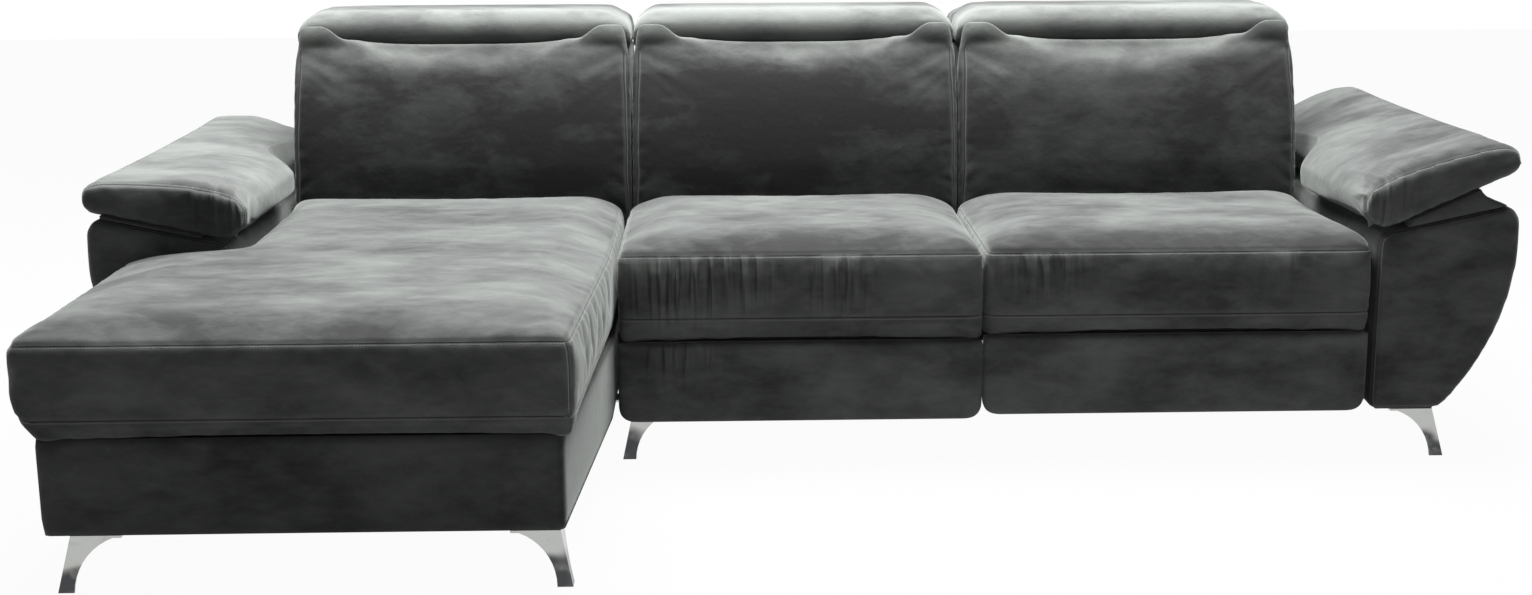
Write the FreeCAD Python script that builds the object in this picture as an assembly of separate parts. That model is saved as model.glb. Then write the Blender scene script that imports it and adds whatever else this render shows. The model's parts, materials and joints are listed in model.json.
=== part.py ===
"""Corner sofa: a chaise on the left and a two-seat relax element on the right.

Millimetres. +Z is up, the seats face -Y, and the chaise stands on the -X side. The origin is the middle of the
whole footprint, on the floor. Soft pieces are closed blocks with pockets for the boards and fittings inside them.
"""
import FreeCAD, Part
import os
from math import atan2, cos, radians, sin, tan

V = FreeCAD.Vector
os.makedirs("parts", exist_ok=True)

# Whole sofa
overall_width = 2750.0
overall_depth = 1650.0
element_depth = 990.0
half_width = overall_width / 2
front_y = -overall_depth / 2
rear_y = overall_depth / 2
seat_front_y = rear_y - element_depth

# Levels
leg_height = 90.0
frame_height = 162.0
deck_z = leg_height + frame_height
strap_thickness = 2.0
cushion_z = deck_z + strap_thickness

# Boards, covers and gaps
board = 22.0
skirt = 12.0
skirt_lift = 2.0
soft_gap = 4.0
rest_gap = 0.3
overrun = 30.0
diagonal_share = 0.7071

# Seat cushions
seat_depth = 533.0
seat_side_height = 165.0
seat_crown = 28.0
front_bulge = 9.0
side_draw = 13.0
crown_fall_share = 0.6
seat_end_share = 0.035
seat_rear_y = seat_front_y + seat_depth

# Chaise
chaise_left_inset = 75.0
chaise_front_right_x = -400.0
chaise_right_x = -373.0
chaise_base_left_inset = 108.0
base_front_right_x = -421.0
base_right_x = -377.0
chaise_base_front_inset = 13.0
chaise_crown = 26.0
chaise_overlap = 60.0
arm_front_gap = 6.0

# Split lines of the two-seat element
element_left_x = -369.0
seat_split_x = 338.5
arm_width = 279.0
arm_inner_x = half_width - arm_width

# Arm body
arm_bottom_draw = 132.0
arm_waist_draw = 28.0
arm_bottom_width = arm_width - arm_bottom_draw
arm_waist_width = arm_width - arm_waist_draw
arm_waist_z = 266.0
arm_shoulder_z = 470.0
arm_edge_round = 16.0
arm_side_bulge = 3.0
arm_draw = 7.0
arm_end_share = 0.01
arm_corner_draw = 3.2
arm_board_inset = 18.0
arm_rail_width = 38.0
outer_rail_inset = 72.0
arm_rail_top_z = 395.0

# Arm pad, in its own frame: u runs outward from the hinge axis and v stands square to it
arm_axis_inset = 10.0
arm_axis_x = arm_inner_x + arm_axis_inset
arm_axis_z = 496.0
roll_radius = 46.0
pad_end_inset = 25.0
pad_length = arm_width - pad_end_inset
pad_end_thickness = 58.0
pad_end_bulge = 16.0
pad_top_crown = 5.0
pad_draw = 7.0
pad_end_share = 0.014
pad_low_tilt = 12.0
pad_notch_angle = 12.0
pad_top_notch = 2
left_pad_notch = 0
right_pad_notch = 1
pad_body_gap = 5.0
pad_back_clearance = 4.0
pad_board_inner = 36.0
pad_board_margin = 48.0
pad_board_width = pad_length - pad_board_margin
pad_board_thickness = 12.0
pad_board_end_inset = 22.0
gusset_inner_u = 36.0
gusset_foot_inset = 24.0
gusset_crest_step = 52.0
arm_hinge_front_inset = 105.0
arm_hinge_pitch = 340.0

# Backs
back_gap = 3.0
arm_back_gap = 5.0
back_left_shift = 9.0
back_right_shift = 12.5
back_seat_gap = 10.0
back_front_y = seat_rear_y + back_seat_gap
back_bottom_z = 262.0
back_lip_z = 768.0
back_lip_setback = 88.0
back_rear_setback = 37.0
back_rear_y = rear_y - back_rear_setback
back_toe_setback = 16.0
back_belly = 40.0
back_belly_share = 0.42
back_side_draw = 18.0
back_end_share = 0.03
lip_draw_share = 0.33
belly_fall_share = 0.3
rear_panel_thickness = 12.0
rear_panel_edge_inset = 6.0

# Headrests
head_axis_setback = 142.0
head_axis_z = 780.0
head_roll_radius = 42.0
head_seat_gap = 1.0
head_depth = 238.0
head_rear_thickness = 72.0
head_rear_bulge = 12.0
head_top_crown = 6.0
head_side_draw = 24.0
head_end_share = 0.045
head_board_inner = 25.0
head_board_depth = 190.0
head_board_thickness = 12.0
head_board_end_inset = 40.0
head_hinge_shares = (0.2, 0.8)
seat_arc_middle = 232.0

# Back frames
back_frame_front_setback = 122.0
back_frame_side_inset = 14.0
back_frame_thickness = 20.0
back_frame_bottom_z = 275.0
back_frame_top_z = 726.0
back_rail_depth = 42.0
bottom_rail_z = 285.0
bottom_rail_height = 50.0
top_rail_z = 660.0
top_rail_height = 40.0

# Recline hinges
recline_axis_setback = 77.0
recline_axis_z = 300.0
recline_eye_radius = 16.0
recline_stud_radius = 7.0
recline_plate = 6.0
recline_side_inset = 70.0
recline_slot_wall = 12.0
tangent_share = 0.85

# Hinge fittings
plate = 4.0
plate_gap = 0.5
stud_radius = 5.0
stud_clearance = 0.05
stud_head = 1.5
stud_head_radius = 8.0
eye_radius = 12.5
slot_side_gap = 1.5
leaf_neck = 14.0
arm_well_angles = (-158.0, -55.0)
head_well_angles = (-192.0, -57.0)
well_eye_radius = 18.0

# Two-seat frame
end_board = 28.0
front_beam_inset = 50.0
front_beam_depth = 40.0
front_beam_height = 24.0
rear_beam_setback = 42.0
rear_beam_y = seat_rear_y - rear_beam_setback
rear_beam_depth = 40.0
rear_beam_height = 47.0
low_rail_height = 45.0
low_rear_beam_depth = 40.0
corner_block = 82.0
frame_rear_setback = 63.0
low_beam_setback = 62.0
frame_rear_y = rear_y - frame_rear_setback
low_rear_beam_y = frame_rear_y - low_beam_setback

# Footrest linkage, in the YZ plane
mech_side_inset = 125.0
mech_pitch = 7.0
mech_plate_z = 196.0
mech_plate_setback = 65.0
link_width = 25.0
lift_pivot_setback = 105.0
lift_pivot_z = 212.0
reach_pivot_setback = 285.0
reach_pivot_z = 176.0
foot_pivot_setback = 57.0
foot_pivot_z = 145.0
cross_tube_radius = 9.0
cross_tube_setback = 60.0
foot_tube_setback = 42.0
foot_tube_radius = 8.0

# Footrest boards
foot_gap = 3.5
foot_height = 160.0
foot_pad_thickness = 24.0
foot_board_thickness = 16.0
foot_board_inset = 18.0
foot_pad_draw = 8.0
foot_pad_crown = 5.0
foot_top_gap = 4.0
foot_end_share = 0.02
middle_foot_drop = 8.0

# Legs
leg_top_width = 82.0
leg_toe_width = 26.0
leg_splay = 20.0
leg_plate = 4.0
leg_hollow = 15.0
leg_flange = 4.0
rear_leg_size = 50.0
rear_leg_taper = 7.0
screw_radius = 2.5
screw_length = 24.0
screw_head_radius = 5.0
screw_head = 2.5
screw_inset = 22.0
chaise_leg_left_inset = 44.5
chaise_leg_right_inset = 9.5
chaise_leg_front_inset = 10.0
element_leg_inset = 25.5
arm_leg_front_inset = 15.0
glide_radius = 12.0
glide_thickness = 3.0

# Straps and connectors
strap_width = 60.0
chaise_front_straps = 5
chaise_rear_straps = 3
seat_straps = 6
connector_width = 60.0
connector_setback = 165.0
connector_leg_gap = 5.0
tongue_grip = 20.0
tongue_thickness = 4.0
tray_length = 26.0
tray_wall = 4.0

right_pad_tilt = pad_low_tilt + right_pad_notch * pad_notch_angle
left_pad_tilt = pad_low_tilt + left_pad_notch * pad_notch_angle
pad_highest_tilt = pad_low_tilt + pad_top_notch * pad_notch_angle
back_spans = {
    "left": (-arm_inner_x + arm_back_gap, element_left_x + back_left_shift - back_gap / 2),
    "middle": (element_left_x + back_left_shift + back_gap / 2, seat_split_x + back_right_shift - back_gap / 2),
    "right": (seat_split_x + back_right_shift + back_gap / 2, arm_inner_x - arm_back_gap),
}
seat_spans = {
    "middle": (element_left_x, seat_split_x - soft_gap / 2),
    "right": (seat_split_x + soft_gap / 2, arm_inner_x - arm_back_gap),
}
head_axis_y = back_front_y + head_axis_setback
recline_axis_y = back_front_y + recline_axis_setback
frame_front_y = back_front_y + back_frame_front_setback


def box(x0, x1, y0, y1, z0, z1):
    """Box between two corners."""
    return Part.makeBox(x1 - x0, y1 - y0, z1 - z0, V(x0, y0, z0))


def turned(axis, a, b, place):
    """Point of an outline: (y, z) at a given x, or (x, z) at a given y."""
    return V(place, a, b) if axis == "x" else V(a, place, b)


def prism(points, axis, low, high):
    """Closed polygon pushed along x or y."""
    corners = [turned(axis, a, b, low) for a, b in points]
    face = Part.Face(Part.makePolygon(corners + corners[:1]))
    return face.extrude(turned(axis, 0, 0, high) - turned(axis, 0, 0, low))


def plan(points, low, high):
    """Closed polygon seen from above, pushed up."""
    corners = [V(x, y, low) for x, y in points]
    return Part.Face(Part.makePolygon(corners + corners[:1])).extrude(V(0, 0, high - low))


def rod(axis, centre, radius, low, high):
    """Round bar along x or y through an outline point."""
    start = turned(axis, centre[0], centre[1], low)
    along = V(1, 0, 0) if axis == "x" else V(0, 1, 0)
    return Part.makeCylinder(radius, high - low, start, along)


def bar(axis, p, q, width, low, high):
    """Flat link with round ends between two outline points."""
    angle = atan2(q[1] - p[1], q[0] - p[0])
    across = (-sin(angle) * width / 2, cos(angle) * width / 2)
    corners = [(p[0] + across[0], p[1] + across[1]), (q[0] + across[0], q[1] + across[1]),
               (q[0] - across[0], q[1] - across[1]), (p[0] - across[0], p[1] - across[1])]
    blank = prism(corners, axis, low, high)
    for end in (p, q):
        blank = blank.fuse(rod(axis, end, width / 2, low, high))
    return blank.removeSplitter()


def line(a, b):
    """Straight edge."""
    return Part.LineSegment(a, b).toShape()


def arc(a, mid, b):
    """Arc through three points."""
    return Part.Arc(a, mid, b).toShape()


def loft(wires):
    """Closed solid ruled through a row of outlines."""
    return Part.makeLoft([Part.Wire(edges) for edges in wires], True, True)


def stations(low, high, edge_share):
    """Places along a cushion, each with how far its outline is drawn in there."""
    shares = ((0.0, 1.0), (edge_share / 2, 0.52), (edge_share, 0.3), (3 * edge_share, 0.1), (0.25, 0.03))
    shares += ((0.5, 0.0),) + tuple((1 - place, draw) for place, draw in reversed(shares))
    return [(low + (high - low) * place, draw) for place, draw in shares]


def save(name, solids):
    """Write one node: a solid, or several separate solids."""
    pieces = solids if isinstance(solids, list) else [solids]
    flat = [solid for piece in pieces for solid in piece.Solids]
    shape = flat[0] if len(flat) == 1 else Part.makeCompound(flat)
    shape.exportStep("parts/%s.step" % name)
    box_now = shape.BoundBox
    print("%-28s %2d solids  x %.0f..%.0f  y %.0f..%.0f  z %.0f..%.0f  %s" % (
        name, len(flat), box_now.XMin, box_now.XMax, box_now.YMin, box_now.YMax, box_now.ZMin, box_now.ZMax,
        "valid" if all(solid.isValid() for solid in flat) else "NOT VALID"))


def mirrored(shapes):
    """The same shapes mirrored to the other side of the sofa."""
    return [shape.mirror(V(0, 0, 0), V(1, 0, 0)) for shape in shapes]


def cut_all(shape, tools):
    """Shape with pockets for the tools."""
    for tool in tools:
        shape = shape.cut(tool)
    return shape


def crowned_block(x0, x1, y0, y1, z0, z1, crown, bulge, draw):
    """Seat cushion: flat floor, bulged front and rear, domed top, drawn in at both sides."""
    wires = []
    for x, share in stations(x0, x1, seat_end_share):
        near = y0 + bulge + draw * share
        far = y1 - draw * share
        top = z1 - draw * share
        rise = crown * (1 - crown_fall_share * share)
        a, b = V(x, near, z0), V(x, far, z0)
        c, d = V(x, far, top), V(x, near, top)
        wires.append([line(a, b), line(b, c), arc(c, V(x, (near + far) / 2, top + rise), d),
                      arc(d, V(x, near - bulge, (z0 + top) / 2), a)])
    return loft(wires)


def back_block(x0, x1):
    """Back: full depth block with a bellied front and a round seat for the headrest's roll."""
    radius = head_roll_radius + head_seat_gap
    low_z = head_axis_z - radius
    wires = []
    for x, share in stations(x0, x1, back_end_share):
        setback = back_side_draw * share
        toe = V(x, back_front_y + back_toe_setback + setback, back_bottom_z)
        lip_y = back_front_y + back_lip_setback
        lip = V(x, lip_y + setback * lip_draw_share, back_lip_z)
        seat_y = head_axis_y - (radius ** 2 - (head_axis_z - back_lip_z) ** 2) ** 0.5
        seat = V(x, seat_y, back_lip_z)
        straight = toe + (lip - toe) * back_belly_share
        belly = straight - V(0, back_belly * (1 - belly_fall_share * share), 0)
        turn = radians(seat_arc_middle)
        hollow = V(x, head_axis_y + radius * cos(turn), head_axis_z + radius * sin(turn))
        bottom = V(x, head_axis_y, low_z)
        corner = V(x, back_rear_y, low_z)
        heel = V(x, back_rear_y, back_bottom_z)
        wires.append([line(heel, toe), arc(toe, belly, lip), line(lip, seat), arc(seat, hollow, bottom),
                      line(bottom, corner), line(corner, heel)])
    return loft(wires)


def headrest_block(x0, x1):
    """Headrest folded back: a round roll in front and a flat pad behind it."""
    wires = []
    for x, share in stations(x0, x1, head_end_share):
        draw = head_side_draw * share
        radius = head_roll_radius - draw
        slant, low_slant = radius * diagonal_share, head_roll_radius * diagonal_share
        low, top = V(x, head_axis_y, head_axis_z - head_roll_radius), V(x, head_axis_y, head_axis_z + radius)
        front = V(x, head_axis_y - radius, head_axis_z)
        rear_low = V(x, head_axis_y + head_depth - draw, head_axis_z - head_roll_radius)
        rear_top = rear_low + V(0, 0, head_rear_thickness - draw)
        rear_mid = (rear_low + rear_top) * 0.5 + V(0, head_rear_bulge, 0)
        crest = (top + rear_top) * 0.5 + V(0, 0, head_top_crown)
        wires.append([arc(low, V(x, head_axis_y - slant, head_axis_z - low_slant), front),
                      arc(front, V(x, head_axis_y - slant, head_axis_z + slant), top),
                      arc(top, crest, rear_top), arc(rear_top, rear_mid, rear_low), line(rear_low, low)])
    return loft(wires)


def fixed_leaf(axis, centre, outline, low, thick=plate, eye=eye_radius, stud=stud_radius):
    """Hinge leaf with its riveted stud, which the moving leaf turns on."""
    leaf = prism(outline, axis, low, low + thick).fuse(rod(axis, centre, eye, low, low + thick))
    stud_end = low + 2 * thick + 2 * plate_gap
    leaf = leaf.fuse(rod(axis, centre, stud, low, stud_end))
    return leaf.fuse(rod(axis, centre, stud + stud_head_radius - stud_radius, stud_end, stud_end + stud_head))


def moving_leaf(axis, centre, outline, low, thick=plate, eye=eye_radius, stud=stud_radius):
    """Hinge leaf that turns on the fixed leaf's stud."""
    start = low + thick + plate_gap
    leaf = prism(outline, axis, start, start + thick).fuse(rod(axis, centre, eye, start, start + thick))
    return leaf.cut(rod(axis, centre, stud + stud_clearance, start - thick, start + 2 * thick))


def hinge_well(axis, centre, first, last, reach, low):
    """Room in a moving pad for the leaves' eyes, and for the fixed leaf over the whole travel."""
    steps = 6
    fan = [centre]
    for step in range(steps + 1):
        angle = radians(first + (last - first) * step / steps)
        fan.append((centre[0] + reach * cos(angle), centre[1] + reach * sin(angle)))
    room = prism(fan, axis, low - slot_side_gap, low + plate + plate_gap / 2)
    end = low + 2 * plate + 2 * plate_gap + stud_head + slot_side_gap
    return room.fuse(rod(axis, centre, well_eye_radius, low - slot_side_gap, end))


def at_pad(u, v, tilt):
    """Outline point (x, z) of the right arm pad's own frame."""
    angle = radians(tilt)
    return (arm_axis_x + u * cos(angle) - v * sin(angle), arm_axis_z + u * sin(angle) + v * cos(angle))


def arm_pad_block(tilt):
    """Right arm pad: inner roll round the hinge axis, flat underside, bulged outer end."""
    wires = []
    for y, share in stations(seat_front_y, rear_y, pad_end_share):
        draw = pad_draw * share
        radius = roll_radius - draw
        slant = radius * diagonal_share
        length = pad_length - draw
        end = pad_end_thickness - 2 * draw

        def at(u, v):
            x, z = at_pad(u, v, tilt)
            return V(x, y, z)

        end_top = at(length + pad_end_bulge / 2, end - radius)
        wires.append([arc(at(0, -radius), at(-slant, -slant), at(-radius, 0)),
                      arc(at(-radius, 0), at(-slant, slant), at(0, radius)),
                      arc(at(0, radius), at(length / 2, end / 2 + pad_top_crown), end_top),
                      arc(end_top, at(length + pad_end_bulge, end / 2 - radius), at(length, -radius)),
                      line(at(length, -radius), at(0, -radius))])
    pad = loft(wires)
    reach = roll_radius + overrun
    high, low = radians(pad_highest_tilt), radians(pad_low_tilt)
    middle = pad_back_clearance / cos(high)
    beside_back = [(-reach, -reach), (pad_back_clearance / cos(low) - reach * tan(low), -reach), (middle, 0),
                   (middle + reach * tan(high), reach), (-reach, reach)]
    corner = prism([at_pad(u, v, tilt) for u, v in beside_back], "y", seat_rear_y - soft_gap, rear_y + overrun)
    return pad.cut(corner)


def arm_block():
    """Right arm body: upright inner side, flared outer side, top sloped like the lowest pad."""
    depth = roll_radius + pad_body_gap
    wires = []
    shoulder_u = pad_length - arm_edge_round
    inner_z = at_pad(0, -depth, pad_low_tilt)[1] - (at_pad(0, -depth, pad_low_tilt)[0] - arm_inner_x) * tan(
        radians(pad_low_tilt))
    for y, share in stations(seat_front_y, rear_y, arm_end_share):
        draw = arm_draw * share
        top_x, top_z = at_pad(shoulder_u, -depth, pad_low_tilt)
        low_in, high_in = V(arm_inner_x, y, leg_height), V(arm_inner_x, y, inner_z)
        high_out = V(top_x - draw, y, top_z - draw * tan(radians(pad_low_tilt)))
        outer_x = half_width - arm_side_bulge - draw
        shoulder = V(outer_x, y, arm_shoulder_z)
        corner = V(outer_x - arm_corner_draw, y, (top_z + arm_shoulder_z) / 2 + arm_edge_round / 4)
        waist = V(arm_inner_x + arm_waist_width - draw, y, arm_waist_z)
        low_out = V(arm_inner_x + arm_bottom_width - draw, y, leg_height)
        wires.append([line(low_in, high_in), line(high_in, high_out), arc(high_out, corner, shoulder),
                      arc(shoulder, waist, low_out), line(low_out, low_in)])
    return loft(wires)


def arm_frame():
    """Boards inside the right arm: a board at each end and three rails between them."""
    inset = arm_board_inset
    inner = arm_inner_x + inset
    outline = [(inner, leg_height), (arm_inner_x + arm_bottom_width - inset, leg_height),
               (arm_inner_x + arm_waist_width - 2 * inset, arm_waist_z),
               (half_width - 3 * inset, arm_shoulder_z - 2 * inset), (inner, arm_rail_top_z)]
    front, rear = seat_front_y + inset, rear_y - inset
    ends = [prism(outline, "y", front, front + inset), prism(outline, "y", rear - inset, rear)]
    rails = [box(inner, inner + arm_rail_width, front + inset, rear - inset, arm_rail_top_z - board, arm_rail_top_z),
             box(inner, arm_inner_x + arm_bottom_width - inset, front + inset, rear - inset,
                 leg_height, leg_height + board),
             box(half_width - outer_rail_inset - inset, half_width - outer_rail_inset, front + inset, rear - inset,
                 arm_waist_z, arm_waist_z + 2 * board)]
    return ends + rails


def arm_hinge_places():
    """Near sides of the arm hinges along the arm."""
    return [seat_front_y + arm_hinge_front_inset, seat_front_y + arm_hinge_front_inset + arm_hinge_pitch]


def arm_parts(tilt, crest_u, screws):
    """Every piece of the right arm with its pad at a tilt, and its fixed leaves."""
    centre = (arm_axis_x, arm_axis_z)
    foot = arm_inner_x + arm_board_inset
    fixed_outline = [(arm_axis_x - leaf_neck / 2, arm_axis_z), (foot, arm_rail_top_z),
                     (foot + arm_rail_width, arm_rail_top_z), (arm_axis_x + leaf_neck / 2, arm_axis_z)]
    board_top = pad_board_thickness - roll_radius
    moving_outline = [at_pad(u, v, tilt) for u, v in (
        (0, eye_radius), (pad_board_inner + arm_rail_width, board_top + eye_radius),
        (pad_board_inner + arm_rail_width, board_top), (pad_board_inner, board_top), (0, -eye_radius))]
    board_outline = [at_pad(u, v, tilt) for u, v in (
        (pad_board_inner, -roll_radius), (pad_board_inner + pad_board_width, -roll_radius),
        (pad_board_inner + pad_board_width, board_top), (pad_board_inner, board_top))]
    pad_board = prism(board_outline, "y", seat_front_y + pad_board_end_inset, rear_y - pad_board_end_inset)
    fixed = [fixed_leaf("y", centre, fixed_outline, y) for y in arm_hinge_places()]
    moving = [moving_leaf("y", centre, moving_outline, y) for y in arm_hinge_places()]
    well_first, well_last = (tilt + angle for angle in arm_well_angles)
    reach = roll_radius + overrun
    wells = [hinge_well("y", centre, well_first, well_last, reach, y) for y in arm_hinge_places()]
    frame = arm_frame()
    body = cut_all(arm_block(), frame + fixed)
    frame = [cut_all(piece, screws) for piece in frame]
    pad = cut_all(arm_pad_block(tilt), wells + [pad_board] + moving)
    floor_v = rest_gap - roll_radius - pad_body_gap
    top_v = -roll_radius - rest_gap
    fold = [at_pad(gusset_inner_u, floor_v, pad_low_tilt),
            at_pad(pad_length - gusset_foot_inset, floor_v, pad_low_tilt),
            at_pad(crest_u, top_v, tilt), at_pad(gusset_inner_u, top_v, tilt)]
    gusset = prism(fold, "y", seat_front_y + soft_gap, rear_y - soft_gap)
    gusset = cut_all(gusset, fixed)
    return {"arm_body": [body], "arm_frame": frame, "arm_gusset": [gusset], "arm_pad": [pad],
            "arm_pad_board": [pad_board], "arm_hinge_leaves": moving}, fixed


def make_arms(screws):
    """Both arms: the right pad stands one notch up, and the left one lies in its lowest notch."""
    closed_u = pad_length - gusset_foot_inset
    fixed = []
    for side, tilt, notch in (("right", right_pad_tilt, right_pad_notch), ("left", left_pad_tilt, left_pad_notch)):
        pieces, leaves = arm_parts(tilt, closed_u - gusset_crest_step * notch, screws if side == "right" else [])
        fixed += leaves if side == "right" else mirrored(leaves)
        for name, shapes in pieces.items():
            save("%s_%s" % (side, name), shapes if side == "right" else mirrored(shapes))
    save("arm_hinge_brackets", fixed)


def back_frame(x0, x1, foot_z):
    """Boards inside a back: two side boards and four rails between them."""
    left, right = x0 + back_frame_side_inset, x1 - back_frame_side_inset
    inner = (left + back_frame_thickness, right - back_frame_thickness)
    upper_y = head_axis_y - board
    outline = [(frame_front_y, foot_z), (back_rear_y, foot_z), (back_rear_y, back_frame_top_z),
               (upper_y, back_frame_top_z), (frame_front_y, bottom_rail_z + bottom_rail_height)]
    sides = [prism(outline, "x", left, inner[0]), prism(outline, "x", inner[1], right)]
    rails = [(frame_front_y, bottom_rail_z, bottom_rail_height), (upper_y, top_rail_z, top_rail_height),
             (back_rear_y - back_rail_depth, bottom_rail_z, bottom_rail_height),
             (back_rear_y - back_rail_depth, back_frame_top_z - top_rail_height, top_rail_height)]
    return sides + [box(inner[0], inner[1], y, y + back_rail_depth, z, z + height) for y, z, height in rails]


def make_back(side, reclines):
    """One back with its frame, rear panel, headrest and hinges; returns its brackets on the seat frame."""
    x0, x1 = back_spans[side]
    frame = back_frame(x0, x1, back_frame_bottom_z if reclines else deck_z)
    block = back_block(x0, x1)
    centre = (head_axis_y, head_axis_z)
    rail_top = top_rail_z + top_rail_height
    upper_y = head_axis_y - board
    fixed_outline = [(head_axis_y - leaf_neck / 2, head_axis_z), (head_axis_y - leaf_neck / 2, rail_top),
                     (upper_y + back_rail_depth, rail_top), (head_axis_y + leaf_neck / 2, head_axis_z)]
    board_y, board_z = head_axis_y + head_board_inner, head_axis_z - head_roll_radius
    board_top = board_z + head_board_thickness
    moving_outline = [(head_axis_y, head_axis_z + eye_radius), (board_y + back_rail_depth, board_top + eye_radius),
                      (board_y + back_rail_depth, board_top), (board_y, board_top),
                      (head_axis_y, head_axis_z - eye_radius)]
    places = [x0 + (x1 - x0) * share for share in head_hinge_shares]
    fixed = [fixed_leaf("x", centre, fixed_outline, x) for x in places]
    moving = [moving_leaf("x", centre, moving_outline, x) for x in places]
    reach = head_roll_radius + overrun / 2
    wells = [hinge_well("x", centre, head_well_angles[0], head_well_angles[1], reach, x) for x in places]
    head_board = box(x0 + head_board_end_inset, x1 - head_board_end_inset, board_y, board_y + head_board_depth,
                     board_z, board_top)
    pockets = frame + fixed
    brackets = []
    if reclines:
        leaves, room = recline_leaves(x0, x1)
        save("%s_recline_leaves" % side, leaves["moving"])
        pockets = pockets + leaves["moving"] + room
        brackets = leaves["fixed"]
    save("%s_back_frame" % side, frame)
    save("%s_back_cushion" % side, cut_all(block, pockets))
    inset = rear_panel_edge_inset
    save("%s_rear_panel" % side, box(x0 + inset, x1 - inset, back_rear_y, back_rear_y + rear_panel_thickness,
                                     back_bottom_z + inset, head_axis_z - head_roll_radius - inset))
    save("%s_headrest_pad" % side, cut_all(headrest_block(x0, x1), wells + [head_board] + moving))
    save("%s_headrest_board" % side, head_board)
    save("%s_headrest_fixed_leaves" % side, fixed)
    save("%s_headrest_moving_leaves" % side, moving)
    return brackets


def recline_leaves(x0, x1):
    """Recline hinges of one back: brackets on the seat frame, leaves on the back's lower rail, and their room."""
    centre = (recline_axis_y, recline_axis_z)
    radius = recline_eye_radius
    beam_rear = rear_beam_y + rear_beam_depth
    bracket = [(beam_rear, deck_z), (beam_rear, deck_z - rear_beam_height),
               (recline_axis_y + radius / 2, recline_axis_z - radius * tangent_share),
               (recline_axis_y - radius / 2, recline_axis_z + radius * tangent_share)]
    leaf = [(recline_axis_y, recline_axis_z - radius), (frame_front_y, bottom_rail_z),
            (frame_front_y, bottom_rail_z + bottom_rail_height), (recline_axis_y, recline_axis_z + radius)]
    fixed, moving, room = [], [], []
    wide = 2 * recline_plate + 2 * plate_gap + stud_head
    for x in (x0 + recline_side_inset, x1 - recline_side_inset - wide):
        fixed.append(fixed_leaf("x", centre, bracket, x, recline_plate, radius, recline_stud_radius))
        moving.append(moving_leaf("x", centre, leaf, x, recline_plate, radius, recline_stud_radius))
        wall = radius + recline_slot_wall
        room.append(box(x - slot_side_gap, x + recline_plate + plate_gap / 2, back_front_y - overrun,
                        recline_axis_y + wall, back_bottom_z - overrun, recline_axis_z + wall))
        room.append(rod("x", centre, radius + slot_side_gap, x, x + wide + slot_side_gap))
    return {"fixed": fixed, "moving": moving}, room


def make_seats():
    """Cushions of the two relax seats."""
    for side, (x0, x1) in seat_spans.items():
        save("%s_seat_cushion" % side, crowned_block(x0, x1, seat_front_y, seat_rear_y, cushion_z,
                                                     cushion_z + seat_side_height, seat_crown, front_bulge, side_draw))


def make_chaise_cushion():
    """Chaise cushion in one piece: full width in front of the arm, narrow beside it."""
    top = cushion_z + seat_side_height
    left = -half_width + chaise_left_inset
    wide = crowned_block(left, chaise_right_x, front_y, seat_front_y - arm_front_gap, cushion_z, top,
                         chaise_crown, front_bulge, side_draw)
    narrow = crowned_block(-arm_inner_x + arm_back_gap, chaise_right_x, seat_front_y - chaise_overlap, seat_rear_y,
                           cushion_z, top, chaise_crown, front_bulge, side_draw)
    outside = chaise_right_x + overrun
    beside = plan([(chaise_front_right_x, front_y - overrun), (outside, front_y - overrun), (outside, seat_front_y),
                   (chaise_right_x, seat_front_y)], cushion_z - overrun, top + overrun)
    save("chaise_cushion", wide.fuse(narrow).cut(beside))


def leg(corner_x, corner_y, toward_x, toward_y, screw_row):
    """Chrome corner leg: two hollowed wings meeting at the outer corner, and its flange."""
    def wing(swap):
        def at(along, height):
            lean = -leg_splay * (1 - height / leg_height)
            return V(lean, along, height) if swap else V(along, lean, height)
        toe = leg_toe_width - leg_splay
        points = [at(0, leg_height), at(-leg_splay, 0), at(toe, 0), at(leg_top_width, leg_height)]
        middle = at((toe + leg_top_width) / 2 - leg_hollow, leg_height / 2 + leg_hollow)
        edges = [line(points[0], points[1]), line(points[1], points[2]), arc(points[2], middle, points[3]),
                 line(points[3], points[0])]
        return Part.Face(Part.Wire(edges)).extrude(V(leg_plate, 0, 0) if swap else V(0, leg_plate, 0))
    flange = box(0, leg_top_width, 0, leg_top_width, leg_height - leg_flange, leg_height)
    shape = wing(False).fuse(wing(True)).fuse(flange).removeSplitter()
    screws = []
    for along in (screw_inset, leg_top_width - screw_inset):
        head = Part.makeCylinder(screw_head_radius, screw_head,
                                 V(along, screw_row, leg_height - leg_flange - screw_head))
        shank = Part.makeCylinder(screw_radius, screw_length, V(along, screw_row, leg_height - leg_flange))
        shape = shape.cut(Part.makeCylinder(screw_radius + rest_gap / 2, 2 * leg_flange,
                                            V(along, screw_row, leg_height - 2 * leg_flange)))
        screws.append(head.fuse(shank))
    placed = []
    for piece in [shape] + screws:
        if toward_x < 0:
            piece = piece.mirror(V(0, 0, 0), V(1, 0, 0))
        if toward_y < 0:
            piece = piece.mirror(V(0, 0, 0), V(0, 1, 0))
        piece.translate(V(corner_x, corner_y, 0))
        placed.append(piece)
    return placed[0], placed[1:]


def rear_leg(x, y):
    """Plain tapered rear leg and its glide, centred on a point."""
    half, foot = rear_leg_size / 2, rear_leg_size / 2 - rear_leg_taper
    squares = []
    for reach, z in ((foot, glide_thickness), (half, leg_height)):
        corners = [V(x - reach, y - reach, z), V(x + reach, y - reach, z), V(x + reach, y + reach, z),
                   V(x - reach, y + reach, z)]
        squares.append(Part.makePolygon(corners + corners[:1]))
    return Part.makeLoft(squares, True, True), Part.makeCylinder(glide_radius, glide_thickness, V(x, y, 0))


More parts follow.
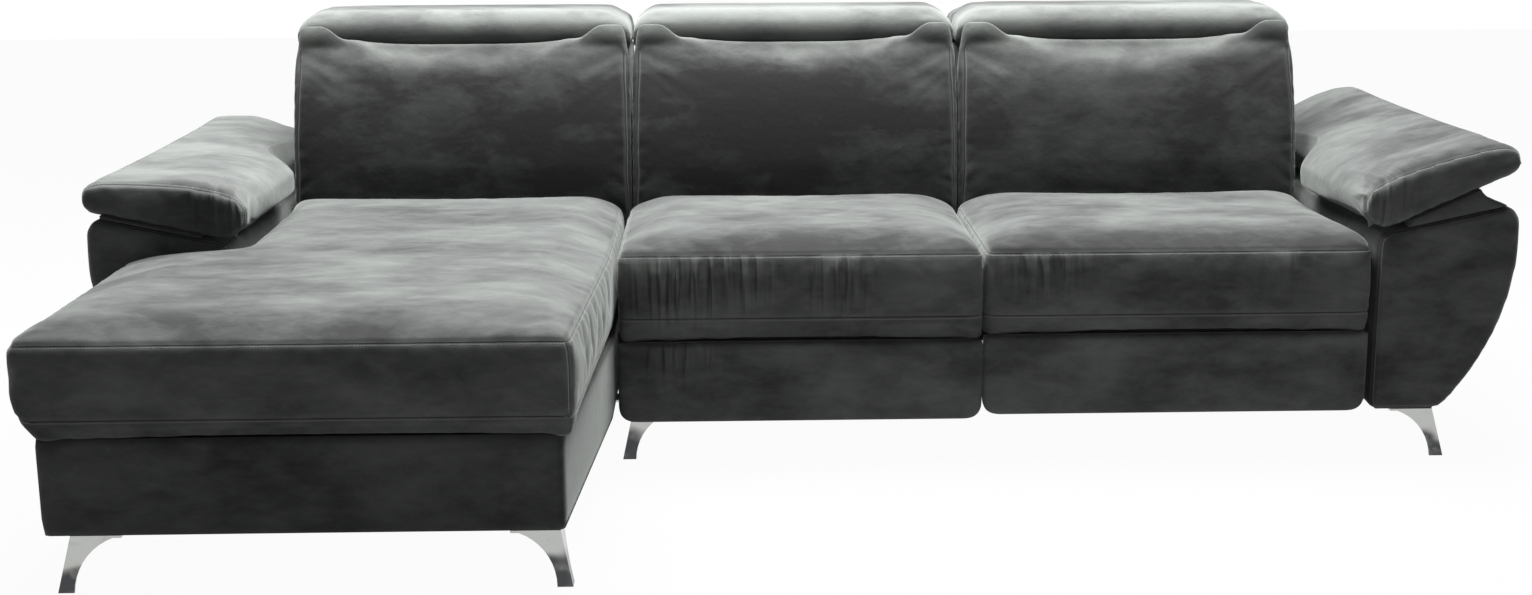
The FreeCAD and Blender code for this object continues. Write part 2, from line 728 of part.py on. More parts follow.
def make_legs():
    """Four chrome legs in front, four plain legs behind, and what fastens and ends them."""
    base_left = -half_width + chaise_base_left_inset
    base_front = front_y + chaise_base_front_inset
    chaise_leg_y = base_front + chaise_leg_front_inset
    row = skirt + board / 2 - chaise_leg_front_inset
    places = [(base_left + chaise_leg_left_inset, chaise_leg_y, 1, 1, row),
              (base_front_right_x - chaise_leg_right_inset, chaise_leg_y, -1, 1, row),
              (element_left_x + element_leg_inset, seat_front_y + front_beam_inset, 1, 1, screw_inset),
              (arm_inner_x + arm_bottom_width - arm_board_inset, seat_front_y + arm_leg_front_inset, -1, 1,
               arm_board_inset + board)]
    legs, screws = [], []
    for place in places:
        shape, pair = leg(*place)
        legs.append(shape)
        screws.extend(pair)
    save("chrome_legs", legs)
    save("leg_screws", screws)
    half = rear_leg_size / 2
    chaise_right = base_right_x - skirt
    rears = [(-arm_inner_x + half, frame_rear_y - half), (chaise_right - half, frame_rear_y - half),
             (element_left_x + half, low_rear_beam_y + half), (arm_inner_x - half, low_rear_beam_y + half)]
    blocks = [rear_leg(x, y) for x, y in rears]
    save("rear_legs", [block for block, glide in blocks])
    save("leg_glides", [glide for block, glide in blocks])
    return screws


def base_right_at(y):
    """Right side of the chaise base at a depth: slanted in front, straight beside the seats."""
    start = front_y + chaise_base_front_inset
    share = min((y - start) / (seat_front_y - start), 1)
    return base_front_right_x + (base_right_x - base_front_right_x) * share


def right_wall(inset, thickness, front, rear, low, high):
    """Slanted and straight wall on the right of the chaise base, as two solids."""
    walls = []
    for y0, y1 in ((front, seat_front_y), (seat_front_y, rear)):
        x0, x1 = base_right_at(y0) - inset, base_right_at(y1) - inset
        walls.append(plan([(x0 - thickness, y0), (x0, y0), (x1, y1), (x1 - thickness, y1)], low, high))
    return walls


def make_chaise_base(screws):
    """Frame boards, skirts and straps under the chaise cushion."""
    left, front = -half_width + chaise_base_left_inset, front_y + chaise_base_front_inset
    step_y = seat_front_y - arm_front_gap
    arm_x = -arm_inner_x
    low, top, rear = leg_height + skirt_lift, deck_z - skirt_lift, frame_rear_y + skirt
    panels = [box(left, base_front_right_x, front, front + skirt, low, top),
              box(left, left + skirt, front + skirt, step_y - skirt, low, top),
              box(left, arm_x - skirt_lift, step_y - skirt, step_y, low, top),
              box(arm_x, base_right_x, frame_rear_y, rear, low, top)]
    save("chaise_skirts", panels + right_wall(0, skirt, front + skirt, frame_rear_y, low, top))
    left, front, step_y = left + skirt, front + skirt, step_y - skirt
    inner = skirt + board
    right = base_right_x - inner
    step_right = base_right_at(step_y - board) - inner
    boards = [box(left, base_right_at(front) - skirt, front, front + board, leg_height, deck_z),
              box(left, left + board, front + board, step_y, leg_height, deck_z),
              box(left + board, step_right, step_y - board, step_y, leg_height, deck_z),
              box(arm_x, arm_x + board, step_y, frame_rear_y, leg_height, deck_z),
              box(arm_x + board, right, frame_rear_y - board, frame_rear_y, leg_height, deck_z),
              box(arm_x + board, right, frame_front_y, frame_rear_y - board, deck_z - board, deck_z)]
    boards += right_wall(skirt, board, front + board, frame_rear_y, leg_height, deck_z)
    save("chaise_frame", [cut_all(piece, screws) for piece in boards])
    straps = []
    pitch = (step_y - front) / chaise_front_straps
    for count in range(chaise_front_straps):
        y = front + pitch * (count + 0.5)
        end = base_right_at(y - strap_width / 2) - skirt
        straps.append(box(left, end, y - strap_width / 2, y + strap_width / 2, deck_z, cushion_z))
    pitch = (seat_rear_y - seat_front_y) / chaise_rear_straps
    for count in range(chaise_rear_straps):
        y = seat_front_y + pitch * (count + 0.5)
        straps.append(box(arm_x, base_right_x - skirt, y - strap_width / 2, y + strap_width / 2, deck_z, cushion_z))
    return straps


def make_element_frame(screws, straps):
    """Boards, beams and straps that carry the two relax seats."""
    left, right = element_left_x, arm_inner_x
    front = seat_front_y + front_beam_inset
    inner = (left + end_board, right - end_board)
    beam_end = rear_beam_y + rear_beam_depth
    boards = []
    for x0, x1 in ((left, inner[0]), (inner[1], right)):
        boards.append(box(x0, x1, front, beam_end, leg_height, deck_z))
        boards.append(box(x0, x1, beam_end, frame_rear_y, leg_height, leg_height + low_rail_height))
    boards += [box(inner[0], inner[1], front, front + front_beam_depth, deck_z - front_beam_height, deck_z),
               box(inner[0], inner[1], rear_beam_y, beam_end, deck_z - rear_beam_height, deck_z),
               box(inner[0], inner[1], low_rear_beam_y, low_rear_beam_y + low_rear_beam_depth,
                   leg_height, leg_height + low_rail_height),
               box(inner[0], inner[0] + corner_block, front, front + corner_block,
                   leg_height, leg_height + low_rail_height)]
    save("element_frame", [cut_all(piece, screws) for piece in boards])
    for x0, x1 in seat_spans.values():
        pitch = (x1 - x0) / seat_straps
        for count in range(seat_straps):
            x = x0 + pitch * (count + 0.5)
            straps.append(box(x - strap_width / 2, x + strap_width / 2, front, beam_end, deck_z, cushion_z))
    save("seat_straps", straps)


def linkage_sides(x0, x1):
    """Outer faces of a seat's two linkages, each with the way towards the middle of the seat."""
    return ((x0 + mech_side_inset, 1), (x1 - mech_side_inset, -1))


def layer(face, way, number):
    """Span of one flat bar in the stack beside a linkage's outer face."""
    near = face + way * mech_pitch * number
    return (min(near, near + way * plate), max(near, near + way * plate))


def stud_span(face, way, number):
    """Span of a stud from one bar through the next, and of its head."""
    start, end = face + way * (mech_pitch * number + plate), face + way * (mech_pitch * (number + 1) + plate + plate_gap)
    return (min(start, end), max(start, end)), (min(end, end + way * stud_head), max(end, end + way * stud_head))


def studded(shape, centre, face, way, number):
    """Bar with a riveted stud that the next bar in the stack turns on."""
    stud, head = stud_span(face, way, number)
    shape = shape.fuse(rod("x", centre, stud_radius, stud[0], stud[1]))
    return shape.fuse(rod("x", centre, stud_head_radius, head[0], head[1]))


def drilled(shape, centre, span):
    """Bar with the running hole for its neighbour's stud."""
    return shape.cut(rod("x", centre, stud_radius + stud_clearance, span[0] - plate, span[1] + plate))


def along(p, q, distance):
    """Point a distance from p towards q."""
    angle = atan2(q[1] - p[1], q[0] - p[0])
    return (p[0] + distance * cos(angle), p[1] + distance * sin(angle))


def make_footrest(side, drop):
    """One footrest: lift arms, reach arms, brackets, board and pad; returns the side plates that carry it."""
    lift_pivot = (seat_front_y + lift_pivot_setback, lift_pivot_z)
    reach_pivot = (seat_front_y + reach_pivot_setback, reach_pivot_z)
    foot_pivot = (seat_front_y + foot_pivot_setback, foot_pivot_z)
    plate_front = seat_front_y + mech_plate_setback
    x0, x1 = seat_spans[side]
    plates, lifts, reaches, brackets = [], [], [], []
    board_y = seat_front_y + foot_pad_thickness
    inner_y = board_y + foot_board_thickness
    beam_low = deck_z - front_beam_height
    for face, way in linkage_sides(x0, x1):
        spans = [layer(face, way, number) for number in range(4)]
        side_plate = box(spans[0][0], spans[0][1], plate_front, rear_beam_y, mech_plate_z, beam_low)
        plates.append(studded(side_plate, lift_pivot, face, way, 0))
        lift = bar("x", lift_pivot, reach_pivot, link_width, *spans[1])
        lifts.append(drilled(studded(lift, reach_pivot, face, way, 1), lift_pivot, spans[1]))
        reach = bar("x", reach_pivot, foot_pivot, link_width, *spans[2])
        reaches.append(drilled(studded(reach, foot_pivot, face, way, 2), reach_pivot, spans[2]))
        half = link_width / 2
        bracket = box(spans[3][0], spans[3][1], inner_y, foot_pivot[0], foot_pivot[1] - half, foot_pivot[1] + half)
        bracket = bracket.fuse(rod("x", foot_pivot, half, spans[3][0], spans[3][1]))
        brackets.append(drilled(bracket, foot_pivot, spans[3]))
    lift_tube = along(lift_pivot, reach_pivot, cross_tube_setback)
    reach_tube = along(foot_pivot, reach_pivot, foot_tube_setback)
    (left_face, _), (right_face, _) = linkage_sides(x0, x1)
    for group, centre, radius, number in ((lifts, lift_tube, cross_tube_radius, 1),
                                          (reaches, reach_tube, foot_tube_radius, 2)):
        inset = mech_pitch * number + plate
        group.append(rod("x", centre, radius, left_face + inset, right_face - inset))
    save("%s_lift_arms" % side, lifts)
    save("%s_reach_arms" % side, reaches)
    low = deck_z - foot_top_gap - foot_height - drop
    top = low + foot_height
    left, right = x0 + foot_gap, x1 - foot_gap
    inset = foot_board_inset
    save("%s_footrest_board" % side, box(left + inset, right - inset, board_y, inner_y, low + inset, top - inset))
    save("%s_footrest_brackets" % side, brackets)
    wires = []
    for x, share in stations(left, right, foot_end_share):
        draw = foot_pad_draw * share
        a, b = V(x, board_y, low + draw), V(x, board_y, top - draw)
        c, d = V(x, seat_front_y + foot_pad_crown + draw, top - 2 * draw), V(x, seat_front_y + foot_pad_crown + draw,
                                                                              low + 2 * draw)
        wires.append([line(a, b), line(b, c), arc(c, V(x, seat_front_y + draw, (low + top) / 2), d), line(d, a)])
    save("%s_footrest_pad" % side, loft(wires))
    return plates


def make_connectors():
    """Tongues under the chaise's side that lie in trays under the two-seat element."""
    tongue_x = base_right_x - skirt - tongue_grip
    tray_end = element_left_x + tray_length
    tray_z = leg_height - tongue_thickness
    pieces = []
    rear_end = low_rear_beam_y - connector_leg_gap
    front_start = seat_front_y + connector_setback - connector_width / 2
    for y0 in (front_start, rear_end - connector_width):
        y1 = y0 + connector_width
        pieces.append(box(tongue_x, tray_end - 2 * tray_wall, y0 + tray_wall, y1 - tray_wall, tray_z, leg_height))
        tray = box(element_left_x, tray_end, y0, y1, tray_z - tray_wall, tray_z)
        for low, high in ((y0, y0 + tray_wall), (y1 - tray_wall, y1)):
            tray = tray.fuse(box(element_left_x, tray_end, low, high, tray_z, leg_height))
        stop = box(tray_end - tray_wall, tray_end, y0 + tray_wall, y1 - tray_wall, tray_z, leg_height)
        pieces.append(tray.fuse(stop).removeSplitter())
    save("module_connectors", pieces)


def main():
    """Build every node."""
    screws = make_legs()
    straps = make_chaise_base(screws)
    make_element_frame(screws, straps)
    make_chaise_cushion()
    make_seats()
    make_arms(screws)
    brackets = []
    for side, reclines in (("left", False), ("middle", True), ("right", True)):
        brackets += make_back(side, reclines)
    save("recline_brackets", brackets)
    save("mechanism_plates", make_footrest("middle", middle_foot_drop) + make_footrest("right", 0.0))
    make_connectors()


main()
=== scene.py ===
"""Corner sofa in charcoal velour: covers, fittings, materials, light and camera."""

import bmesh
import bpy
import json
import numpy as np
from math import asin, cos, pi, radians, sin, sqrt, tan
from mathutils import Matrix, Vector
from mathutils.bvhtree import BVHTree


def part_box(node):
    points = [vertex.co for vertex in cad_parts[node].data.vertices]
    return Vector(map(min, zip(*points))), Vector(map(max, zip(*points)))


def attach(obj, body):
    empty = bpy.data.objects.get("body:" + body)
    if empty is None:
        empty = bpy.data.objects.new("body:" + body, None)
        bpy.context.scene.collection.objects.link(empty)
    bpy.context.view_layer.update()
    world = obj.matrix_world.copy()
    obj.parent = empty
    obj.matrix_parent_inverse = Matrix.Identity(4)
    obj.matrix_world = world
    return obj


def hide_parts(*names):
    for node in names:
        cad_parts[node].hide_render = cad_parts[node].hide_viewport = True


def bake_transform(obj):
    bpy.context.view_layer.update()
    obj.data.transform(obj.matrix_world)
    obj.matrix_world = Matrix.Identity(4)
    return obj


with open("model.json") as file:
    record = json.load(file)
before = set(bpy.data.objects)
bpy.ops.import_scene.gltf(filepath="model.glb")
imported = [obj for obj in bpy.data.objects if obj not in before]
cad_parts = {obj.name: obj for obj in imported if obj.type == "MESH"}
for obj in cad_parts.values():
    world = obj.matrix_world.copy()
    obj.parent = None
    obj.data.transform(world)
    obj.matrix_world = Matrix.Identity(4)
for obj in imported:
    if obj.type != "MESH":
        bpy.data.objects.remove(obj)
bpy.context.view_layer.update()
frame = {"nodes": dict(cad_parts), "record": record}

bl_info = {
    "name": "Corner sofa",
    "version": (1, 0, 0),
    "blender": (4, 5, 0),
    "location": "3D View > Sidebar > Sofa",
    "description": "Builds the covers, fittings, materials and stage of a corner sofa",
    "category": "Object",
}

# Levels and lines shared with the solids, in metres and degrees
SEAT_FRONT, SEAT_REAR = -0.165, 0.368
COVER_REAR = SEAT_REAR + 0.008  # the seat covers reach into the gap before the backs
CHAISE_SLANT = 0.027  # how much the chaise narrows between the seats' front and its own
BASE_RIGHT = -0.3762  # right side of the chaise base
REAR = 0.825
ARM_INNER = 1.096
SEAM_LOW, SEAM_TOP = 0.288, 0.419
HEAD_Y, HEAD_Z, HEAD_RADIUS = 0.520, 0.780, 0.042  # roll that a headrest turns about
ROLL_GAP = 0.0012  # kept free round that roll
TOP_CORNER = 0.066  # upper corners of the backs, seen from the front
ARM_X, ARM_Z, ROLL = 1.106, 0.496, 0.046  # axis and radius of the right arm pad's inner roll
NOTCH = 12.0  # lowest tilt of an arm pad and every step above it
PAD_TILTS = {"right": 2 * NOTCH, "left": NOTCH}
BACK_BODIES = (("left", "base"), ("middle", "middle_back"), ("right", "right_back"))
ARM_SIDES = (("right", 1), ("left", -1))


class SofaCloth(bpy.types.PropertyGroup):
    """How the covers are inflated over their foam."""
    pressure: bpy.props.FloatProperty(
        name="Pressure", description="Air pressure that fills the covers", default=4.0, min=0.0)
    frames: bpy.props.IntProperty(
        name="Frames", description="Steps in which the covers fill", default=14, min=1)
    voxel: bpy.props.FloatProperty(
        name="Voxel", description="Mesh size of a cover before it is refined", default=0.012, min=0.002,
        subtype="DISTANCE")
    lift: bpy.props.FloatProperty(
        name="Lift", description="How far a cover may rise, as a share of the most that suits it", default=1.0,
        min=0.05, max=2.0, subtype="FACTOR")


class SofaVelour(bpy.types.PropertyGroup):
    """Colours of the velour and its sheen."""
    deep: bpy.props.FloatVectorProperty(
        name="Deep nap", description="Velour where its pile lies away from the light",
        default=(0.028, 0.0275, 0.029), size=3, min=0.0, max=1.0, subtype="COLOR")
    pale: bpy.props.FloatVectorProperty(
        name="Pale nap", description="Velour where its pile catches the light",
        default=(0.098, 0.104, 0.099), size=3, min=0.0, max=1.0, subtype="COLOR")
    stitch: bpy.props.FloatVectorProperty(
        name="Thread", description="Thread of the seams", default=(0.16, 0.16, 0.158), size=3,
        min=0.0, max=1.0, subtype="COLOR")
    sheen: bpy.props.FloatProperty(
        name="Sheen", description="Soft light along the edges of the pile", default=0.32, min=0.0, max=1.0,
        subtype="FACTOR")


class SofaFittings(bpy.types.PropertyGroup):
    """Colours of the boards, the steel and the plastic."""
    board: bpy.props.FloatVectorProperty(
        name="Board", description="Pale wood of the frame", default=(0.60, 0.44, 0.27), size=3,
        min=0.0, max=1.0, subtype="COLOR")
    grain: bpy.props.FloatVectorProperty(
        name="Grain", description="Dark wood of the frame", default=(0.42, 0.27, 0.14), size=3,
        min=0.0, max=1.0, subtype="COLOR")
    steel: bpy.props.FloatVectorProperty(
        name="Steel", description="Zinc on hinges and linkages", default=(0.62, 0.63, 0.64), size=3,
        min=0.0, max=1.0, subtype="COLOR")
    plastic: bpy.props.FloatVectorProperty(
        name="Plastic", description="Rear legs and glides", default=(0.018, 0.018, 0.018), size=3,
        min=0.0, max=1.0, subtype="COLOR")


class SofaStage(bpy.types.PropertyGroup):
    """Light on the sofa."""
    top: bpy.props.FloatProperty(
        name="Top light", description="Power of the lamp over the sofa", default=640.0, min=0.0, unit="POWER")
    front: bpy.props.FloatProperty(
        name="Front light", description="Power of the lamp before the sofa", default=4.0, min=0.0, unit="POWER")
    world: bpy.props.FloatProperty(
        name="Surroundings", description="Strength of the light from all around", default=0.07, min=0.0)


# Mesh helpers

def read_array(items, field):
    """Vectors of a collection as the rows of an array."""
    values = np.empty(len(items) * 3)
    items.foreach_get(field, values)
    return values.reshape(-1, 3)


def read_points(mesh):
    """Vertex positions as an array."""
    return read_array(mesh.vertices, "co")


def read_normals(mesh):
    """Vertex normals as an array."""
    return read_array(mesh.vertex_normals, "vector")


def write_points(mesh, points):
    """Puts an array back as the vertex positions."""
    mesh.vertices.foreach_set("co", np.asarray(points, float).ravel())
    mesh.update()


def write_values(mesh, name, values):
    """Stores a number with every vertex, or one number with all of them."""
    layer = mesh.attributes.new(name, "FLOAT", "POINT")
    layer.data.foreach_set("value", np.array(np.broadcast_to(values, len(mesh.vertices)), np.float32))


def link(name, mesh):
    """New object for a mesh."""
    obj = bpy.data.objects.new(name, mesh)
    bpy.context.scene.collection.objects.link(obj)
    return obj


def smooth_step(value, low, high):
    """0 before low, 1 after high, and smooth between them."""
    share = np.clip((value - low) / (high - low), 0.0, 1.0)
    return share * share * (3 - 2 * share)


def rounded(corners, radii, steps=6):
    """Closed outline with its corners rounded."""
    count = len(corners)
    outline = []
    for index, (corner, radius) in enumerate(zip(corners, radii)):
        here = Vector(corner)
        before, after = Vector(corners[index - 1]) - here, Vector(corners[(index + 1) % count]) - here
        reach = min(radius, 0.49 * before.length, 0.49 * after.length)
        if reach <= 0:
            outline.append(tuple(here))
            continue
        a, b = here + before.normalized() * reach, here + after.normalized() * reach
        for step in range(steps + 1):
            t = step / steps
            point = a * (1 - t) ** 2 + here * (2 * t * (1 - t)) + b * t ** 2
            outline.append(tuple(point))
    return outline


def resampled(outline, count):
    """The same closed outline as evenly spaced points."""
    points = np.array(outline + outline[:1], float)
    lengths = np.concatenate([[0.0], np.cumsum(np.linalg.norm(np.diff(points, axis=0), axis=1))])
    places = np.linspace(0, lengths[-1], count, endpoint=False)
    return np.stack([np.interp(places, lengths, points[:, 0]), np.interp(places, lengths, points[:, 1])], 1)


def end_rows(low, high, radius, rows, inner):
    """Places along a cushion, each with how far its outline shrinks there to round the end."""
    places = []
    for step in range(rows):
        angle = pi / 2 * step / rows
        places.append((low + radius * (1 - cos(angle)), radius * (1 - sin(angle))))
    middle = [(low + radius + (high - low - 2 * radius) * step / inner, 0.0) for step in range(inner + 1)]
    far = [(low + high - place, shrink) for place, shrink in reversed(places)]
    return places + middle + far


def set_back(outline, amount):
    """Front of an outline drawn back, and its height kept."""
    outline = np.array(outline)
    low, high = outline[:, 0].min(), outline[:, 0].max()
    outline[:, 0] = high - (high - outline[:, 0]) * (high - low - amount) / (high - low)
    return outline


def shrunk(outline, amount):
    """Outline drawn in towards its middle by an amount on every side."""
    low, high = outline.min(0), outline.max(0)
    centre, half = (low + high) / 2, (high - low) / 2
    return centre + (outline - centre) * (np.maximum(half - amount, 0.001) / half)


def loops_mesh(name, loops):
    """Closed mesh through a row of outlines, with filled ends."""
    build = bmesh.new()
    rings = [[build.verts.new(point) for point in loop] for loop in loops]
    for a, b in zip(rings, rings[1:]):
        for k in range(len(a)):
            build.faces.new((a[k - 1], a[k], b[k], b[k - 1]))
    ends = [build.faces.new(rings[0]), build.faces.new(tuple(reversed(rings[-1])))]
    bmesh.ops.recalc_face_normals(build, faces=build.faces)
    bmesh.ops.triangulate(build, faces=ends)
    mesh = bpy.data.meshes.new(name)
    build.to_mesh(mesh)
    build.free()
    return mesh


def lofted(name, axis, rows, section, count, draw=shrunk):
    """Closed mesh along x or y; section(place) gives the outline across it, and draw rounds its ends."""
    loops = []
    for place, shrink in rows:
        outline = draw(resampled(section(place), count), shrink)
        loops.append([(place, a, b) if axis == "x" else (a, place, b) for a, b in outline])
    return loops_mesh(name, loops)


def evaluated(obj, name):
    """New mesh of an object with its modifiers."""
    graph = bpy.context.evaluated_depsgraph_get()
    mesh = bpy.data.meshes.new_from_object(obj.evaluated_get(graph), depsgraph=graph)
    mesh.name = name
    return mesh


def apply_modifiers(obj):
    """Gives an object the mesh that its modifiers make."""
    mesh = evaluated(obj, obj.name)
    obj.modifiers.clear()
    old, obj.data = obj.data, mesh
    bpy.data.meshes.remove(old)


def remeshed(name, meshes):
    """One closed even mesh round one or several overlapping meshes."""
    joined = bmesh.new()
    for mesh in meshes:
        joined.from_mesh(mesh)
    mesh = bpy.data.meshes.new(name)
    joined.to_mesh(mesh)
    joined.free()
    obj = link(name, mesh)
    even = obj.modifiers.new("even", "REMESH")
    even.mode = "VOXEL"
    even.voxel_size = bpy.context.scene.sofa_cloth.voxel
    apply_modifiers(obj)
    for source in meshes:
        bpy.data.meshes.remove(source)
    relax(obj.data, 2)
    return obj


def relax(mesh, turns):
    """Moves every point half way towards the middle of its neighbours."""
    edges = np.empty(len(mesh.edges) * 2, np.int64)
    mesh.edges.foreach_get("vertices", edges)
    edges, points = edges.reshape(-1, 2), read_points(mesh)
    degree = np.bincount(edges.ravel(), minlength=len(points))[:, None]
    for _ in range(turns):
        total = np.zeros_like(points)
        np.add.at(total, edges[:, 0], points[edges[:, 1]])
        np.add.at(total, edges[:, 1], points[edges[:, 0]])
        points += (total / degree - points) * 0.5
    write_points(mesh, points)


def snapped_line(mesh, line):
    """Points of a seam on the surface, with the surface's normals there."""
    pitch = 0.012
    tree = BVHTree.FromPolygons([v.co[:] for v in mesh.vertices], [p.vertices[:] for p in mesh.polygons])
    found = []
    for a, b in zip(line, line[1:]):
        a, b = Vector(a), Vector(b)
        steps = max(1, round((b - a).length / pitch))
        found += [tree.find_nearest(a.lerp(b, step / steps)) for step in range(steps)]
    found.append(tree.find_nearest(Vector(line[-1])))
    points, normals = (np.array([hit[part][:] for hit in found]) for part in (0, 1))
    kernel = np.array([0.25, 0.5, 0.25])
    for _ in range(2):
        for axis in range(3):
            normals[1:-1, axis] = np.convolve(normals[:, axis], kernel, "valid")
            points[1:-1, axis] = np.convolve(points[:, axis], kernel, "valid")
    return points, normals / np.linalg.norm(normals, axis=1, keepdims=True)


def seam_field(points, lines):
    """Signed distance to the nearest seam and the place along it, for every point."""
    best = np.full(len(points), 1.0)
    signed = np.full(len(points), 1.0)
    place = np.zeros(len(points))
    start = 0.0
    for seam, normals in lines:
        for k in range(len(seam) - 1):
            a, step = seam[k], seam[k + 1] - seam[k]
            length = np.linalg.norm(step)
            if length < 1e-6:
                continue
            near = np.abs(points - a).max(1) < length + 0.03
            if not near.any():
                start += length
                continue
            offset = points[near] - a
            share = np.clip(offset @ step / length ** 2, 0, 1)
            gap = offset - share[:, None] * step
            distance = np.linalg.norm(gap, axis=1)
            side = np.sign(gap @ np.cross(step, normals[k]))
            side[side == 0] = 1
            index = np.flatnonzero(near)
            closer = distance < best[index]
            index, distance, side, share = index[closer], distance[closer], side[closer], share[closer]
            best[index] = distance
            signed[index] = distance * side
            place[index] = start + share * length
            start += length
    return signed, place


def inflate(obj, pins, scale, cap, grow):
    """Air pressure lifts the cover between its seams, and no point moves further than the cap."""
    scene = bpy.context.scene
    cloth = scene.sofa_cloth
    cap *= cloth.lift
    before = read_points(obj.data)
    group = obj.vertex_groups.new(name="held")
    group.add(np.flatnonzero(pins).tolist(), 1.0, "REPLACE")
    skin = obj.modifiers.new("cover", "CLOTH")
    settings = skin.settings
    settings.quality = 4
    settings.mass = 0.3
    settings.tension_stiffness = settings.compression_stiffness = 15.0
    settings.shear_stiffness = 5.0
    settings.bending_stiffness = 0.8
    settings.use_pressure = True
    settings.uniform_pressure_force = cloth.pressure * scale
    settings.effector_weights.gravity = 0.0
    settings.vertex_group_mass = "held"
    settings.shrink_min = -grow
    skin.collision_settings.use_collision = False
    skin.point_cache.frame_start = 1
    skin.point_cache.frame_end = cloth.frames + 1
    for count in range(1, cloth.frames + 1):
        scene.frame_set(count)
    moved = evaluated(obj, "moved")
    after = read_points(moved)
    bpy.data.meshes.remove(moved)
    obj.modifiers.clear()
    obj.vertex_groups.clear()
    scene.frame_set(1)
    move = after - before
    length = np.linalg.norm(move, axis=1, keepdims=True)
    move *= cap * np.tanh(length / cap) / np.maximum(length, 1e-9)
    write_points(obj.data, before + move)


def held_inside(points, low, high):
    """Points kept within a box, gently near its faces."""
    margin = 0.004
    low, high = np.array(low), np.array(high)
    over, under = points - (high - margin), (low + margin) - points
    points = np.where(over > 0, high - margin + margin * np.tanh(over / margin), points)
    return np.where(under > 0, low + margin - margin * np.tanh(under / margin), points)


def refine(obj):
    """Finer smooth mesh of the same cover."""
    finer = obj.modifiers.new("finer", "SUBSURF")
    finer.levels = finer.render_levels = 1
    apply_modifiers(obj)


def back_painted_shading(points, normals):
    """Painted light and shade on the backs and headrests: painted shade down the front, painted light over the
    front of the roll.
    """
    heights = (0.27, 0.45, 0.62, 0.68, 0.735, 0.760, 0.800)
    shades = (-0.22, -0.26, -0.40, -0.28, 0.14, 0.30, 0.46)
    rear = smooth_step(points[:, 1], HEAD_Y - 0.005, HEAD_Y + 0.100)
    return np.interp(points[:, 2], heights, shades) * (1 - rear) + 0.06 * rear


def seat_painted_shading(points, normals):
    """Painted shade and light on the relax seats: painted shade towards the front edge of the top, a little
    painted light on the front.
    """
    top = smooth_step(normals[:, 2], 0.2, 0.75)
    near = 1 - smooth_step(points[:, 1], SEAT_FRONT, SEAT_FRONT + 0.15)
    return 0.08 * (1 - top) - 0.40 * near * top


def chaise_painted_shading(points, normals):
    """Painted shade on the chaise: darker on its right side and towards the front edge of the top."""
    top, side = smooth_step(normals[:, 2], 0.3, 0.8), smooth_step(normals[:, 0], 0.5, 0.9)
    near = 1 - smooth_step(points[:, 1], -0.81, -0.66)
    return -0.50 * side - 0.20 * near * top


def pad_painted_shading(way):
    """Painted light and shade on an arm pad: painted light on the left one's top, painted shade on both next to
    the front seam.
    """
    def nap(points, normals):
        top = smooth_step(normals[:, 2], 0.3, 0.8)
        near = 1 - smooth_step(points[:, 1], SEAT_FRONT + 0.01, SEAT_FRONT + 0.12)
        return top * ({-1: 0.28, 1: -0.06}[way] - 0.26 * near)
    return nap


def arm_painted_shade(way):
    """Painted shade on an arm's inner side, where the pad and the back shade it."""
    def nap(points, normals):
        return -0.45 * smooth_step(-way * normals[:, 0], 0.4, 0.9)
    return nap


def gathered(patches, ceiling=9.0):
    """Strength of gathered cloth below a ceiling; a patch is its middle, its reach on every axis, its strength."""
    def strength(rest):
        total = np.zeros(len(rest))
        for middle, reach, most in patches:
            away = (rest - np.array(middle)) / np.array(reach)
            total = np.maximum(total, most * np.exp(-(away ** 2).sum(1)))
        return total * (1 - smooth_step(rest[:, 2], ceiling - 0.009, ceiling))
    return strength


def soft_cover(obj, seams, low, high, nap, fill, scale, cap, grow, depth=0.0022, creases=(), after=None,
               gather=None):
    """Turns a raw mesh into a cover: inflated between its seams, refined, and with seams and creases drawn in.

    low and high are the corners of the box it keeps within. scale weighs the pressure, cap limits how far a point
    moves, grow is the spare cloth, and depth is how far a seam is drawn in.
    """
    groove_width, shoulder_place, shoulder_width = 0.0038, 0.010, 0.006
    mesh = obj.data
    layer = mesh.attributes.new("rest", "FLOAT_VECTOR", "POINT")
    layer.data.foreach_set("vector", np.asarray(read_points(mesh), np.float32).ravel())
    lines = [snapped_line(mesh, seam) for seam in seams]
    signed, _ = seam_field(read_points(mesh), lines)
    inflate(obj, np.abs(signed) < 0.55 * bpy.context.scene.sofa_cloth.voxel, scale, cap, grow)
    write_points(mesh, held_inside(read_points(mesh), low, high))
    refine(obj)
    mesh = obj.data
    rest = read_array(mesh.attributes["rest"].data, "vector")
    signed, place = seam_field(rest, lines)
    points, normals = read_points(mesh), read_normals(mesh)
    distance = np.abs(signed)
    groove = np.exp(-(distance / groove_width) ** 2)
    shoulder = np.exp(-((distance - shoulder_place) / shoulder_width) ** 2)
    lift = -depth * groove + 0.25 * depth * shoulder
    for fold in creases:
        lift += fold(rest)
    points = points + normals * lift[:, None]
    if after:
        points = after(points, rest)
    write_points(mesh, held_inside(points, low, high))
    write_values(mesh, "seam_gap", signed)
    write_values(mesh, "seam_place", place)
    if gather:
        write_values(mesh, "gather", gather(rest))
        write_values(mesh, "gather_place", rest[:, 0] + 0.12 * rest[:, 1])
    # Painted light and shade: how much paler or darker the velour is painted at each point, from the cover's final
    # shape
    write_values(mesh, "nap", nap(read_points(mesh), read_normals(mesh)))
    mesh.attributes.remove(mesh.attributes["rest"])
    mesh.shade_smooth()


def plain_cloth(mesh):
    """Smooth cloth without seams."""
    mesh.shade_smooth()
    write_values(mesh, "seam_gap", 1.0)
    write_values(mesh, "seam_place", 0.0)


